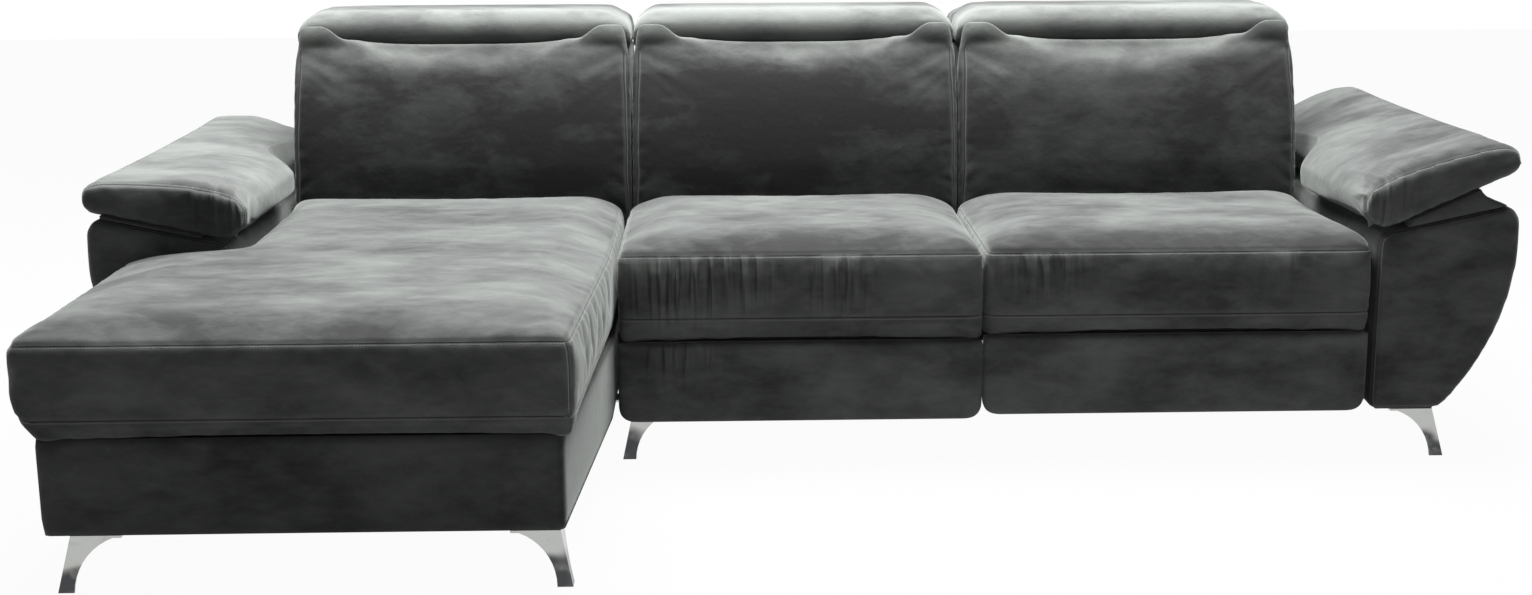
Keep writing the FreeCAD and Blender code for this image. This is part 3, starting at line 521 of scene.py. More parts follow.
def crease(a, b, depth, width):
    """Thin soft fold between two points of the rest shape."""
    a, b = np.array(a, float), np.array(b, float)
    span = b - a
    length = np.linalg.norm(span)

    def lift(rest):
        share = np.clip((rest - a) @ span / length ** 2, -0.2, 1.2)
        off = rest - a - share[:, None] * span
        distance = np.linalg.norm(off, axis=1)
        inside = smooth_step(share, 0.0, 0.5) * (1 - smooth_step(share, 0.5, 1.0))
        valley = np.exp(-(distance / width) ** 2)
        ridge = 0.45 * np.exp(-((distance - 1.9 * width) / (1.1 * width)) ** 2)
        return depth * inside * (ridge - valley)
    return lift


def grown(low, high, amount):
    """Box grown by an amount on every side."""
    return [a - amount for a in low], [b + amount for b in high]


def finish_piece(obj, body, slot_name, node):
    """Material, slot and body of a cover, and the solid that it stands for."""
    obj.data.materials.clear()
    obj.data.materials.append(bpy.data.materials[slot_name])
    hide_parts(node)
    if body:
        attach(obj, body)


# Materials

class Nodes:
    """Short way to place and wire the nodes of one tree."""

    def __init__(self, tree):
        self.tree = tree

    def add(self, kind, **values):
        node = self.tree.nodes.new(kind)
        for key, value in values.items():
            setattr(node, key, value)
        return node

    def wire(self, source, target):
        self.tree.links.new(source, target)

    def place(self):
        return self.add("ShaderNodeTexCoord").outputs["Object"]

    def attribute(self, name):
        return self.add("ShaderNodeAttribute", attribute_name=name).outputs["Fac"]

    def stretched(self, vector, scale, rotation=(0.0, 0.0, 0.0)):
        node = self.add("ShaderNodeMapping")
        node.inputs["Scale"].default_value = scale
        node.inputs["Rotation"].default_value = rotation
        self.wire(vector, node.inputs["Vector"])
        return node.outputs["Vector"]

    def axes(self, vector):
        node = self.add("ShaderNodeSeparateXYZ")
        self.wire(vector, node.inputs["Vector"])
        return node.outputs

    def noise(self, vector, scale, detail=3.0, rough=0.55, distortion=0.0):
        node = self.add("ShaderNodeTexNoise")
        self.wire(vector, node.inputs["Vector"])
        for label, value in (("Scale", scale), ("Detail", detail), ("Roughness", rough),
                             ("Distortion", distortion)):
            node.inputs[label].default_value = value
        return node.outputs["Fac"]

    def math(self, operation, a, b=None, clamp=False):
        node = self.add("ShaderNodeMath", operation=operation, use_clamp=clamp)
        for socket, value in zip(node.inputs, (a, b)):
            if isinstance(value, (int, float)):
                socket.default_value = value
            elif value is not None:
                self.wire(value, socket)
        return node.outputs[0]

    def times(self, a, b):
        return self.math("MULTIPLY", a, b)

    def plus(self, a, b, clamp=False):
        return self.math("ADD", a, b, clamp)

    def most(self, first, *others):
        for other in others:
            first = self.math("MAXIMUM", first, other)
        return first

    def remap(self, value, low, high, to_low=0.0, to_high=1.0, smooth=True):
        kind = "SMOOTHSTEP" if smooth else "LINEAR"
        node = self.add("ShaderNodeMapRange", interpolation_type=kind, clamp=True)
        self.wire(value, node.inputs["Value"])
        for label, number in (("From Min", low), ("From Max", high), ("To Min", to_low), ("To Max", to_high)):
            node.inputs[label].default_value = number
        return node.outputs["Result"]

    def mix(self, factor, a, b):
        node = self.add("ShaderNodeMix", data_type="RGBA")
        sockets = {"Factor": factor, "A": a, "B": b}
        for socket in node.inputs:
            if socket.name == "Factor" and socket.type != "VALUE":
                continue
            if socket.name in ("A", "B") and socket.type != "RGBA":
                continue
            value = sockets[socket.name]
            if isinstance(value, (int, float)):
                socket.default_value = value
            elif isinstance(value, (tuple, list)):
                socket.default_value = (*value[:3], 1.0)
            else:
                self.wire(value, socket)
        return next(socket for socket in node.outputs if socket.type == "RGBA")

    def bump(self, height, strength, distance, normal=None):
        node = self.add("ShaderNodeBump")
        node.inputs["Strength"].default_value = strength
        node.inputs["Distance"].default_value = distance
        self.wire(height, node.inputs["Height"])
        if normal is not None:
            self.wire(normal, node.inputs["Normal"])
        return node.outputs["Normal"]


def emptied(block):
    """Node tree of a material or a world, emptied."""
    block.use_nodes = True
    block.node_tree.nodes.clear()
    return Nodes(block.node_tree)


def velour_group():
    """Cloudy pile, fine pile, gathers and stitched seams of the velour, with painted light and shade, painted
    highlights on the gathers and painted shade in the seam folds.
    """
    tree = bpy.data.node_groups.new("velour_cloth", "ShaderNodeTree")
    for label, grey in (("Deep", 0.03), ("Pale", 0.1), ("Thread", 0.16)):
        socket = tree.interface.new_socket(label, in_out="INPUT", socket_type="NodeSocketColor")
        socket.default_value = (grey, grey, grey, 1)
    for label, kind in (("Colour", "Color"), ("Roughness", "Float"), ("Normal", "Vector")):
        tree.interface.new_socket(label, in_out="OUTPUT", socket_type="NodeSocket" + kind)
    n = Nodes(tree)
    entry, leave = n.add("NodeGroupInput"), n.add("NodeGroupOutput")
    place = n.place()
    # Painted light and shade stored on each cover
    nap = n.attribute("nap")

    # Clouds of brushed pile in three sizes
    stretched = n.stretched(place, (0.62, 1.15, 1.30))
    broad = n.noise(stretched, 5.2, 3.0, 0.50, 0.25)
    patchy = n.noise(stretched, 15.0, 4.0, 0.58, 0.35)
    strokes = n.noise(stretched, 46.0, 4.0, 0.62, 0.5)
    cloud = n.plus(n.times(n.remap(broad, 0.34, 0.66), 0.50), n.times(n.remap(patchy, 0.34, 0.68), 0.34))
    cloud = n.plus(cloud, n.times(n.remap(strokes, 0.35, 0.68), 0.16))
    # Painted light and shade shift the cloud between the deep and the pale colour
    cloud = n.plus(cloud, nap, clamp=True)

    # Puckers that run up and down where the cloth is gathered, with painted highlights along their ridges
    gather = n.attribute("gather")
    across = n.add("ShaderNodeCombineXYZ")
    n.wire(n.attribute("gather_place"), across.inputs["X"])
    n.wire(n.times(n.axes(place)["Z"], 0.10), across.inputs["Z"])
    ripple = n.noise(across.outputs["Vector"], 62.0, 1.0, 0.4, 0.0)
    pucker, painted_light_streak = n.times(n.remap(ripple, 0.34, 0.66), gather), n.times(n.remap(ripple, 0.50, 0.64), gather)

    # Fine pile
    pile = n.noise(place, 900.0, 2.0, 0.6)
    fleck = n.noise(place, 2400.0, 1.0, 0.5)
    tinted = n.add("ShaderNodeVectorMath", operation="SCALE")
    n.wire(n.mix(cloud, entry.outputs["Deep"], entry.outputs["Pale"]), tinted.inputs[0])
    # Painted light and shade also scale the brightness
    shade = n.times(n.remap(pile, 0.3, 0.7, 0.86, 1.1, False), n.plus(n.times(nap, 0.9), 1.0))
    n.wire(shade, tinted.inputs["Scale"])

    # Seams: a fold painted near-black as shade in its groove, a row of stitches on one side of it, and pile worn
    # pale next to it
    stitch_side, stitches_a_metre = 0.0036, 190.0
    gap = n.attribute("seam_gap")
    away = n.math("ABSOLUTE", gap)
    marked = n.remap(away, 0.00001, 0.00002)
    fold = n.times(n.remap(away, 0.0004, 0.0016, 1.0, 0.0), marked)
    there = n.remap(n.math("ABSOLUTE", n.math("SUBTRACT", gap, stitch_side)), 0.0004, 0.0010, 1.0, 0.0)
    turn = n.math("FRACT", n.times(n.attribute("seam_place"), stitches_a_metre))
    dash = n.remap(n.math("ABSOLUTE", n.math("SUBTRACT", turn, 0.5)), 0.30, 0.38, 1.0, 0.0)
    stitch = n.times(n.times(there, dash), marked)
    worn = n.times(n.remap(away, 0.002, 0.010, 0.30, 0.0), marked)

    colour = n.mix(worn, tinted.outputs[0], entry.outputs["Pale"])
    # Painted shade: the seam's fold painted near-black
    colour = n.mix(n.times(fold, 0.75), colour, (0.008, 0.008, 0.008))
    # Painted highlight: the pucker ridges painted pale
    colour = n.mix(n.times(painted_light_streak, 0.85), colour, entry.outputs["Pale"])
    colour = n.mix(n.times(stitch, 0.85), colour, entry.outputs["Thread"])
    n.wire(colour, leave.inputs["Colour"])
    n.wire(n.remap(cloud, 0.0, 1.0, 0.92, 0.72, False), leave.inputs["Roughness"])
    normal = n.bump(n.noise(place, 65.0, 3.0, 0.55, 0.6), 0.16, 0.004)
    normal = n.bump(pucker, 0.9, 0.020, normal)
    normal = n.bump(n.plus(n.times(pile, 0.55), n.times(fleck, 0.25)), 0.22, 0.0006, normal)
    normal = n.bump(n.math("SUBTRACT", stitch, fold), 0.5, 0.0012, normal)
    n.wire(normal, leave.inputs["Normal"])
    return tree


def new_material(name):
    """Material of a slot with only its shader and output."""
    n = emptied(bpy.data.materials.get(name) or bpy.data.materials.new(name))
    shader = n.add("ShaderNodeBsdfPrincipled")
    n.wire(shader.outputs[0], n.add("ShaderNodeOutputMaterial").inputs["Surface"])
    return n, shader


def darker(colour, share):
    """Share of a colour."""
    return tuple(share * value for value in colour)


def velour_material(name, group, deep, pale):
    """Velour with its own depth of colour."""
    look = bpy.context.scene.sofa_velour
    n, shader = new_material(name)
    cloth = n.add("ShaderNodeGroup", node_tree=group)
    for label, colour in (("Deep", deep), ("Pale", pale), ("Thread", look.stitch)):
        cloth.inputs[label].default_value = (*colour, 1)
    for label, socket in (("Colour", "Base Color"), ("Roughness", "Roughness"), ("Normal", "Normal")):
        n.wire(cloth.outputs[label], shader.inputs[socket])
    for label, value in (("Sheen Weight", look.sheen), ("Sheen Roughness", 0.42),
                         ("Sheen Tint", (0.78, 0.83, 0.79, 1)), ("Specular IOR Level", 0.12)):
        shader.inputs[label].default_value = value


def wood_material(name, pale, dark):
    """Bare board: long grain, pores, plywood layers on the edges, and painted shade: near-black where it shows
    outside between the covers.
    """
    n, shader = new_material(name)
    place = n.place()
    stretched = n.stretched(place, (1.0, 5.0, 9.0))
    grain = n.noise(stretched, 9.0, 5.0, 0.6, 1.2)
    pores = n.noise(stretched, 120.0, 2.0, 0.6)
    rings = n.add("ShaderNodeTexWave", wave_type="BANDS", bands_direction="Z")
    n.wire(place, rings.inputs["Vector"])
    for label, value in (("Scale", 60.0), ("Distortion", 1.5), ("Detail", 2.0)):
        rings.inputs[label].default_value = value
    tone = n.plus(n.times(n.remap(grain, 0.3, 0.7), 0.6), n.times(rings.outputs["Fac"], 0.3), clamp=True)
    colour = n.mix(n.remap(pores, 0.62, 0.75, 0.0, 0.4), n.mix(tone, pale, dark), darker(dark, 0.45))
    x, y, z = n.axes(place)

    # Painted shade: boards that would show outside, under the seats and the arm pads, at the chaise's front and at
    # the rear, are painted near-black
    seat_front = n.times(n.math("LESS_THAN", y, -0.074), n.math("GREATER_THAN", x, -0.3725))
    under_pad = n.times(n.math("GREATER_THAN", n.math("ABSOLUTE", x), 1.10), n.math("GREATER_THAN", z, 0.44))
    chaise_front, rear = n.math("LESS_THAN", y, -0.775), n.math("GREATER_THAN", y, 0.765)
    colour = n.mix(n.most(seat_front, chaise_front, rear, under_pad), colour, (0.012, 0.012, 0.012))
    n.wire(colour, shader.inputs["Base Color"])
    n.wire(n.remap(grain, 0.2, 0.8, 0.5, 0.7, False), shader.inputs["Roughness"])
    n.wire(n.bump(n.plus(grain, pores), 0.25, 0.0008), shader.inputs["Normal"])


def metal_material(name, colour, roughness, spread):
    """Brushed metal with faint handling marks."""
    n, shader = new_material(name)
    place = n.place()
    lines = n.noise(n.stretched(place, (1.0, 1.0, 40.0)), 60.0, 4.0, 0.6)
    smudge = n.noise(place, 18.0, 4.0, 0.6, 0.8)
    shader.inputs["Metallic"].default_value = 1.0
    handled = n.mix(n.remap(smudge, 0.45, 0.75, 0.0, 0.35), colour, darker(colour, 0.72))
    n.wire(handled, shader.inputs["Base Color"])
    n.wire(n.remap(n.plus(n.times(lines, 0.5), n.times(smudge, 0.5)), 0.3, 0.7, roughness, roughness + spread),
           shader.inputs["Roughness"])
    n.wire(n.bump(lines, 0.12, 0.0004), shader.inputs["Normal"])


def chrome_material(name):
    """Polished chrome with a painted reflection: dark near the floor and light above, as a bright metal shows in a
    pale room.
    """
    n, shader = new_material(name)
    place = n.place()
    painted_light_streak = n.noise(n.stretched(place, (9.0, 1.0, 22.0), (0.0, 0.6, 0.0)), 1.2, 1.0, 0.4, 0.3)
    smudge = n.noise(place, 26.0, 3.0, 0.6, 0.5)
    # Painted reflection: dark near the floor and light above, its edge wobbled by streaks
    level = n.plus(n.axes(place)["Z"], n.times(n.math("SUBTRACT", painted_light_streak, 0.5), 0.16))
    colour = n.mix(n.remap(level, 0.018, 0.066), (0.060, 0.062, 0.066), (0.46, 0.47, 0.455))
    colour = n.mix(n.remap(smudge, 0.55, 0.75, 0.0, 0.35), colour, (0.34, 0.33, 0.29))
    n.wire(colour, shader.inputs["Base Color"])
    shader.inputs["Metallic"].default_value = 1.0
    n.wire(n.remap(smudge, 0.3, 0.7, 0.07, 0.20, False), shader.inputs["Roughness"])


def plastic_material(name, colour):
    """Moulded plastic with a fine grain."""
    n, shader = new_material(name)
    place = n.place()
    grain = n.noise(place, 700.0, 2.0, 0.5)
    scuff = n.noise(place, 30.0, 4.0, 0.6, 1.0)
    scuffed = tuple(2.2 * value + 0.01 for value in colour)
    n.wire(n.mix(n.remap(scuff, 0.5, 0.75, 0.0, 0.4), colour, scuffed), shader.inputs["Base Color"])
    n.wire(n.remap(scuff, 0.3, 0.7, 0.42, 0.6, False), shader.inputs["Roughness"])
    n.wire(n.bump(grain, 0.2, 0.0003), shader.inputs["Normal"])


def webbing_material(name):
    """Woven elastic webbing with dust in it."""
    n, shader = new_material(name)
    place = n.place()
    weave = n.add("ShaderNodeTexChecker")
    n.wire(place, weave.inputs["Vector"])
    for label, value in (("Scale", 420.0), ("Color1", (0.09, 0.085, 0.08, 1)),
                         ("Color2", (0.035, 0.033, 0.032, 1))):
        weave.inputs[label].default_value = value
    dust = n.noise(place, 40.0, 3.0, 0.6)
    n.wire(n.mix(n.remap(dust, 0.4, 0.8, 0.0, 0.3), weave.outputs["Color"], (0.16, 0.15, 0.14)),
           shader.inputs["Base Color"])
    shader.inputs["Roughness"].default_value = 0.85
    n.wire(n.bump(weave.outputs["Fac"], 0.4, 0.0006), shader.inputs["Normal"])


def make_materials():
    """Every material, named after the slot it serves."""
    look, parts = bpy.context.scene.sofa_velour, bpy.context.scene.sofa_fittings
    group = velour_group()
    velour_material("velour", group, look.deep, look.pale)
    velour_material("velour_panel", group, darker(look.deep, 0.95), darker(look.pale, 0.8))
    wood_material("frame_wood", tuple(parts.board), tuple(parts.grain))
    metal_material("zinc_steel", tuple(parts.steel), 0.28, 0.16)
    chrome_material("chrome")
    plastic_material("black_plastic", tuple(parts.plastic))
    webbing_material("webbing")


# Covers

def slab_mesh(name, x0, x1, y0, y1, low, top, radius):
    """Upright slab with soft upper edges, tighter upright edges and a crisp bottom."""
    corner = 0.014
    outline = resampled(rounded([(x0, y0), (x1, y0), (x1, y1), (x0, y1)], [corner] * 4), 200)
    rows = [(low, 0.0), ((low + top) / 2, 0.0)]
    for step in range(7):
        angle = pi / 2 * step / 6
        rows.append((top - radius + radius * sin(angle), radius * (1 - cos(angle))))
    return loops_mesh(name, [[(x, y, z) for x, y in shrunk(outline, shrink)] for z, shrink in rows])


def inside_gap(points, boxes):
    """How far inside a group of boxes each point is, seen from above."""
    best = np.full(len(points), -1.0)
    for x0, x1, y0, y1 in boxes:
        gap = np.minimum.reduce([points[:, 0] - x0, x1 - points[:, 0], points[:, 1] - y0, y1 - points[:, 1]])
        best = np.maximum(best, gap)
    return np.maximum(best, 0)


def crown(points, boxes, low_z, top_z, rise, reach):
    """Raises the top of a slab towards its middle."""
    gap = inside_gap(points, boxes)
    share = smooth_step(points[:, 2], low_z, top_z)
    points[:, 2] += rise * share * (1 - np.exp(-gap / reach))
    return points


def lip_droop(drop, face, way):
    """Hangs a seat's lower front edge over the panel under it, and keeps its side next to the other seat flat."""
    def droop(points, rest):
        beside = (way * (rest[:, 0] - face) > -0.005) & (rest[:, 2] < 0.40)
        behind = smooth_step(rest[:, 1], SEAT_FRONT + 0.012, SEAT_FRONT + 0.030)
        behind *= 1 - smooth_step(rest[:, 2], 0.36, 0.40)
        points[beside, 0] += (face + way * 0.0002 - points[beside, 0]) * behind[beside]
        share = 1 - smooth_step(rest[:, 2], 0.258, 0.290)
        near = 1 - smooth_step(rest[:, 1], SEAT_FRONT + 0.026, SEAT_FRONT + 0.046)
        points[:, 2] -= drop * share * near
        return points
    return droop


def seat_slab(name, boxes, domed, radius, bulge):
    """Raw seat cushion: slabs with rounded edges and a bulged front; the domed boxes carry the crown."""
    bottom, top, shoulder = 0.2546, 0.4195, 0.34
    spare = 0.022  # pressed flat again, so that the bottom edge comes out crisp
    rise, reach = 0.024, 0.075
    obj = remeshed(name, [slab_mesh(name, *box, bottom - spare, top, radius) for box in boxes])
    points = read_points(obj.data)
    points[:, 2] = np.maximum(points[:, 2], bottom)
    front = min(box[2] for box in boxes)
    height = np.clip((points[:, 2] - bottom) / (top - bottom), 0, 1)
    near = 1 - smooth_step(points[:, 1], front, front + 0.09)
    points[:, 1] -= bulge * near * (4 * height * (1 - height) - 0.35)
    write_points(obj.data, crown(points, domed, shoulder, top, rise, reach))
    return obj


def band_lines(x0, x1, y0, y1, z):
    """Seam round the front and the two sides of a cushion."""
    return [(x0, y1, z), (x0, y0, z), (x1, y0, z), (x1, y1, z)]


def make_seat_covers():
    """Covers of the two relax seats."""
    # A fold is its place in x, how far it leans, its top and its bottom
    folds = {
        "middle": [(-0.272, 0.006, 0.395, 0.315), (-0.246, 0.010, 0.400, 0.300), (-0.223, 0.004, 0.405, 0.305),
                   (-0.196, 0.012, 0.400, 0.318), (-0.172, 0.003, 0.408, 0.300), (-0.148, 0.009, 0.395, 0.312),
                   (-0.060, 0.006, 0.400, 0.335), (0.058, -0.006, 0.395, 0.318), (0.092, -0.012, 0.400, 0.330),
                   (-0.305, 0.010, 0.385, 0.330), (0.135, -0.008, 0.390, 0.345)],
        "right": [(0.470, 0.008, 0.395, 0.345), (0.560, -0.006, 0.392, 0.350), (0.905, 0.010, 0.395, 0.335),
                  (0.960, 0.006, 0.390, 0.325)],
    }
    # A pucker is its middle, its reach along every axis and its strength
    puckers = {
        "middle": [((-0.235, SEAT_FRONT, 0.352), (0.085, 0.05, 0.048), 1.0),
                   ((-0.130, SEAT_FRONT, 0.360), (0.05, 0.05, 0.045), 0.7),
                   ((0.060, SEAT_FRONT, 0.362), (0.045, 0.05, 0.048), 0.9)],
        "right": [((0.45, SEAT_FRONT, 0.375), (0.07, 0.05, 0.040), 0.55),
                  ((0.93, SEAT_FRONT, 0.370), (0.05, 0.05, 0.040), 0.35)],
    }
    # Left and right side against the solid, overlap under the arm, depth of the folds, droop of the front edge
    for side, left, right, leaning, depth, drop in (("middle", 0.0008, 0.0014, 0.0, 0.0030, 0.0112),
                                                    ("right", -0.0014, -0.0008, 0.05, 0.0014, 0.0032)):
        low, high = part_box("%s_seat_cushion" % side)
        x0, x1 = low[0] + left, high[0] + right
        y0 = SEAT_FRONT + 0.003
        obj = seat_slab("%s_seat_cover" % side, [(x0, x1, y0, COVER_REAR)],
                        [(x0, x1 + leaning, y0, SEAT_REAR + 0.05)], radius=0.017, bulge=0.004)
        seams = [band_lines(x0, x1, SEAT_FRONT, SEAT_REAR - 0.05, z) for z in (SEAM_TOP - 0.006, SEAM_LOW)]
        creases = [crease((x, SEAT_FRONT, top), (x + lean, SEAT_FRONT, bottom), depth, 0.0075)
                   for x, lean, top, bottom in folds[side]]
        beside, way = (x1, 1) if side == "middle" else (x0, -1)
        soft_cover(obj, seams, (x0 - 0.0002, low[1] - 0.003, low[2] - drop - 0.004),
                   (x1 + 0.0002, COVER_REAR + 0.001, high[2] + 0.003), seat_painted_shading, fill=0.8, scale=1.0, cap=0.010,
                   grow=0.012, creases=creases, after=lip_droop(drop, beside, way),
                   gather=gathered(puckers[side], SEAM_TOP - 0.005))
        finish_piece(obj, "base", "velour", "%s_seat_cushion" % side)


def make_chaise_cover():
    """Cover of the chaise cushion, in one piece round the front of the left arm."""
    low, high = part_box("chaise_cushion")
    x0, x1, y0 = low[0] + 0.002, high[0] - 0.0012, low[1] + 0.004
    corner = x1 - CHAISE_SLANT
    step = SEAT_FRONT - 0.004
    boxes = [(-ARM_INNER + 0.006, x1, y0, COVER_REAR), (x0, x1, y0, step)]
    domed = [(-ARM_INNER - 0.05, x1, y0, SEAT_REAR + 0.05), (x0, x1, y0, step + 0.05)]
    obj = seat_slab("chaise_cover", boxes, domed, radius=0.021, bulge=0.005)
    points = read_points(obj.data)
    drawn = smooth_step(points[:, 0], x1 - 0.30, x1 - 0.02)
    points[:, 0] -= CHAISE_SLANT * drawn * np.clip((SEAT_FRONT - points[:, 1]) / (SEAT_FRONT - y0), 0, 1)
    under = np.clip((0.335 - points[:, 2]) / 0.08, 0, 1) ** 2
    points[:, 0] += 0.030 * under * (1 - smooth_step(points[:, 0], x0, x0 + 0.12))
    write_points(obj.data, points)
    around = [(x0, step), (x0, y0), (corner, y0), (x1, SEAT_FRONT), (x1, SEAT_REAR - 0.05)]
    seams = [[(x, y, z) for x, y in around] for z in (SEAM_TOP - 0.007, SEAM_LOW)]
    seams.append([(corner - 0.004, y0 + 0.004, SEAM_TOP - 0.012), (corner - 0.004, y0 + 0.004, SEAM_LOW)])
    creases = [crease((x, y0, 0.40), (x + 0.004, y0, 0.34), 0.0010, 0.009)
               for x in (-1.19, -1.02, -0.83, -0.60)]
    for y, lean, top, bottom in ((-0.70, 0.05, 0.395, 0.315), (-0.56, -0.04, 0.385, 0.330),
                                 (-0.42, 0.05, 0.390, 0.310), (-0.30, 0.03, 0.380, 0.325)):
        x = corner + CHAISE_SLANT * (y - y0) / (SEAT_FRONT - y0)
        creases.append(crease((x, y, top), (x, y + lean, bottom), 0.0030, 0.018))
    soft_cover(obj, seams, (low[0], low[1] - 0.003, low[2] - 0.009),
               (high[0], COVER_REAR + 0.001, high[2] + 0.003), chaise_painted_shading, fill=0.8, scale=1.0, cap=0.010,
               grow=0.010, creases=creases)
    finish_piece(obj, "base", "velour", "chaise_cushion")


def curve_points(a, through, b, share, count):
    """Points of a soft curve from a to b that passes through a point at a share of its way."""
    a, through, b = (np.array(point, float) for point in (a, through, b))
    handle = (through - a * (1 - share) ** 2 - b * share ** 2) / (2 * share * (1 - share))
    places = np.linspace(0, 1, count)[:, None]
    return [tuple(p) for p in a * (1 - places) ** 2 + handle * 2 * places * (1 - places) + b * places ** 2]


def corner_height(x, x0, x1):
    """Height of the round upper corner that a back and its headrest share."""
    edge = min(x - x0, x1 - x, TOP_CORNER)
    return HEAD_Z + HEAD_RADIUS - TOP_CORNER + sqrt(max(TOP_CORNER ** 2 - (TOP_CORNER - edge) ** 2, 0))


def back_section(x, x0, x1):
    """Outline of a back in y and z: bellied front, and a lip that gets thin and high at its ends."""
    share = abs(2 * (x - x0) / (x1 - x0) - 1)
    end, thin = float(smooth_step(share, 0.68, 0.84)), float(smooth_step(share, 0.62, 0.80))
    radius = HEAD_RADIUS + 0.0014
    highest = asin(max(min((corner_height(x, x0, x1) - 0.003 - HEAD_Z) / radius, 0.88), -0.9))
    stop = min(radians(-14.0) + radians(42.0) * end, highest)
    start = min(radians(-30.0), stop - 0.1)
    outer, hollow = [], []
    steps = 12
    for step in range(steps + 1):
        angle = start + (stop - start) * step / steps
        fall = float(smooth_step(step / steps, -0.25, 1.0 + 0.6 * (1 - thin)))
        reach = radius + 0.0130 - 0.0126 * fall
        outer.append((HEAD_Y - reach * cos(angle), HEAD_Z + reach * sin(angle)))
        angle = stop + (-pi / 2 - stop) * step / steps
        hollow.append((HEAD_Y - radius * cos(angle), HEAD_Z + radius * sin(angle)))
    front = curve_points((0.398, 0.266), (0.386, 0.475), outer[0], 0.42, 18)
    shelf = HEAD_Z - radius
    return ([(0.782, 0.266)] + front + outer[1:] + hollow
            + [(0.60, shelf), (0.775, shelf), (0.784, shelf - 0.010), (0.786, 0.50)])


def clear_roll(points, rest):
    """Keeps a back out of the headrest's roll and from under the headrest."""
    offset = points[:, 1:] - (HEAD_Y, HEAD_Z)
    distance = np.linalg.norm(offset, axis=1)
    radius = HEAD_RADIUS + ROLL_GAP
    near = distance < radius
    factor = radius / np.maximum(distance, 1e-6)
    points[near, 1:] = (HEAD_Y, HEAD_Z) + offset[near] * factor[near, None]
    behind = (points[:, 1] > HEAD_Y) & (points[:, 2] > HEAD_Z - radius)
    points[behind, 2] = HEAD_Z - radius
    return points


def make_back_covers():
    """Covers of the three backs."""
    for side, body in BACK_BODIES:
        low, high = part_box("%s_back_cushion" % side)
        x0, x1 = low[0] + 0.0008, high[0] - 0.0008
        name = "%s_back_cover" % side
        obj = link(name, lofted(name, "x", end_rows(x0, x1, 0.022, 6, 52),
                                lambda x: back_section(x, x0, x1), 190, set_back))
        seams = [[(x, 0.400, 0.30), (x, 0.386, 0.48), (x, 0.428, 0.70), (x, 0.448, 0.745)]
                 for x in (x0 + 0.008, x1 - 0.008)]
        centre = (x0 + x1) / 2
        creases = [crease((centre - 0.20, 0.378, 0.44), (centre + 0.02, 0.378, 0.437), 0.0022, 0.014),
                   crease((x0 + 0.03, 0.40, 0.70), (x0 + 0.10, 0.39, 0.60), 0.0016, 0.012),
                   crease((x1 - 0.03, 0.40, 0.71), (x1 - 0.11, 0.39, 0.62), 0.0016, 0.012)]
        soft_cover(obj, seams, (low[0] - 0.001, low[1] - 0.006, low[2]), (high[0] + 0.001, high[1], 0.800),
                   back_painted_shading, fill=0.75, scale=0.8, cap=0.012, grow=0.010, depth=0.0007, creases=creases,
                   after=clear_roll)
        finish_piece(obj, body, "velour", "%s_back_cushion" % side)


def headrest_section(x, x0, x1):
    """Outline of a headrest in y and z: round roll, then a flat pad that slopes down behind."""
    fall = HEAD_Z + HEAD_RADIUS - corner_height(x, x0, x1)
    top = HEAD_RADIUS - 0.80 * fall
    outline = []
    for step in range(15):
        angle = 1.5 * pi - pi * step / 14
        tall = HEAD_RADIUS if sin(angle) < 0 else top
        outline.append((HEAD_Y + (HEAD_RADIUS - 0.25 * fall) * cos(angle), HEAD_Z + tall * sin(angle)))
    rear_top = HEAD_Z + 0.030 - 0.5 * fall
    return outline + [(0.58, HEAD_Z + top + 0.003), (0.66, HEAD_Z + top + 0.001), (0.73, rear_top + 0.006),
                      (0.760, rear_top - 0.006), (0.767, HEAD_Z - 0.005), (0.760, HEAD_Z - 0.034),
                      (0.745, HEAD_Z - HEAD_RADIUS)]


def clear_lip(points, rest):
    """Keeps a headrest's roll inside the lip of the back and off the shelf under it."""
    offset = points[:, 1:] - (HEAD_Y, HEAD_Z)
    distance = np.linalg.norm(offset, axis=1)
    hidden = (points[:, 1] < HEAD_Y) & (points[:, 2] < HEAD_Z + 0.012) & (distance > HEAD_RADIUS)
    factor = HEAD_RADIUS / np.maximum(distance, 1e-6)
    points[hidden, 1:] = (HEAD_Y, HEAD_Z) + offset[hidden] * factor[hidden, None]
    points[:, 2] = np.maximum(points[:, 2], HEAD_Z - HEAD_RADIUS)
    return points


def make_headrest_covers():
    """Covers of the three headrests."""
    for side, _ in BACK_BODIES:
        low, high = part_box("%s_headrest_pad" % side)
        x0, x1 = low[0] + 0.0008, high[0] - 0.0008
        name = "%s_headrest_cover" % side
        obj = link(name, lofted(name, "x", end_rows(x0, x1, 0.012, 5, 60),
                                lambda x: headrest_section(x, x0, x1), 96))
        seams = [[(x0 + 0.01, 0.70, HEAD_Z + 0.036), (x1 - 0.01, 0.70, HEAD_Z + 0.036)]]
        creases = [crease((x0 + 0.02, 0.49, 0.815), (x0 + 0.10, 0.50, 0.80), 0.0015, 0.010),
                   crease((x1 - 0.02, 0.49, 0.815), (x1 - 0.11, 0.50, 0.80), 0.0015, 0.010)]
        soft_cover(obj, seams, (low[0] - 0.001, low[1] - 0.002, low[2]), (high[0] + 0.001, high[1], 0.829),
                   back_painted_shading, fill=0.75, scale=0.8, cap=0.007, grow=0.010, depth=0.0016, creases=creases,
                   after=clear_lip)
        finish_piece(obj, "%s_headrest" % side, "velour", "%s_headrest_pad" % side)


def at_pad(u, v, tilt):
    """Place in x and z of a point along and across the right arm pad."""
    angle = radians(tilt)
    return (ARM_X + u * cos(angle) - v * sin(angle), ARM_Z + u * sin(angle) + v * cos(angle))


def to_pad(points, tilt, way):
    """Coordinates along and across an arm pad."""
    angle = radians(tilt)
    x, z = points[:, 0] * way - ARM_X, points[:, 2] - ARM_Z
    return x * cos(angle) + z * sin(angle), z * cos(angle) - x * sin(angle)


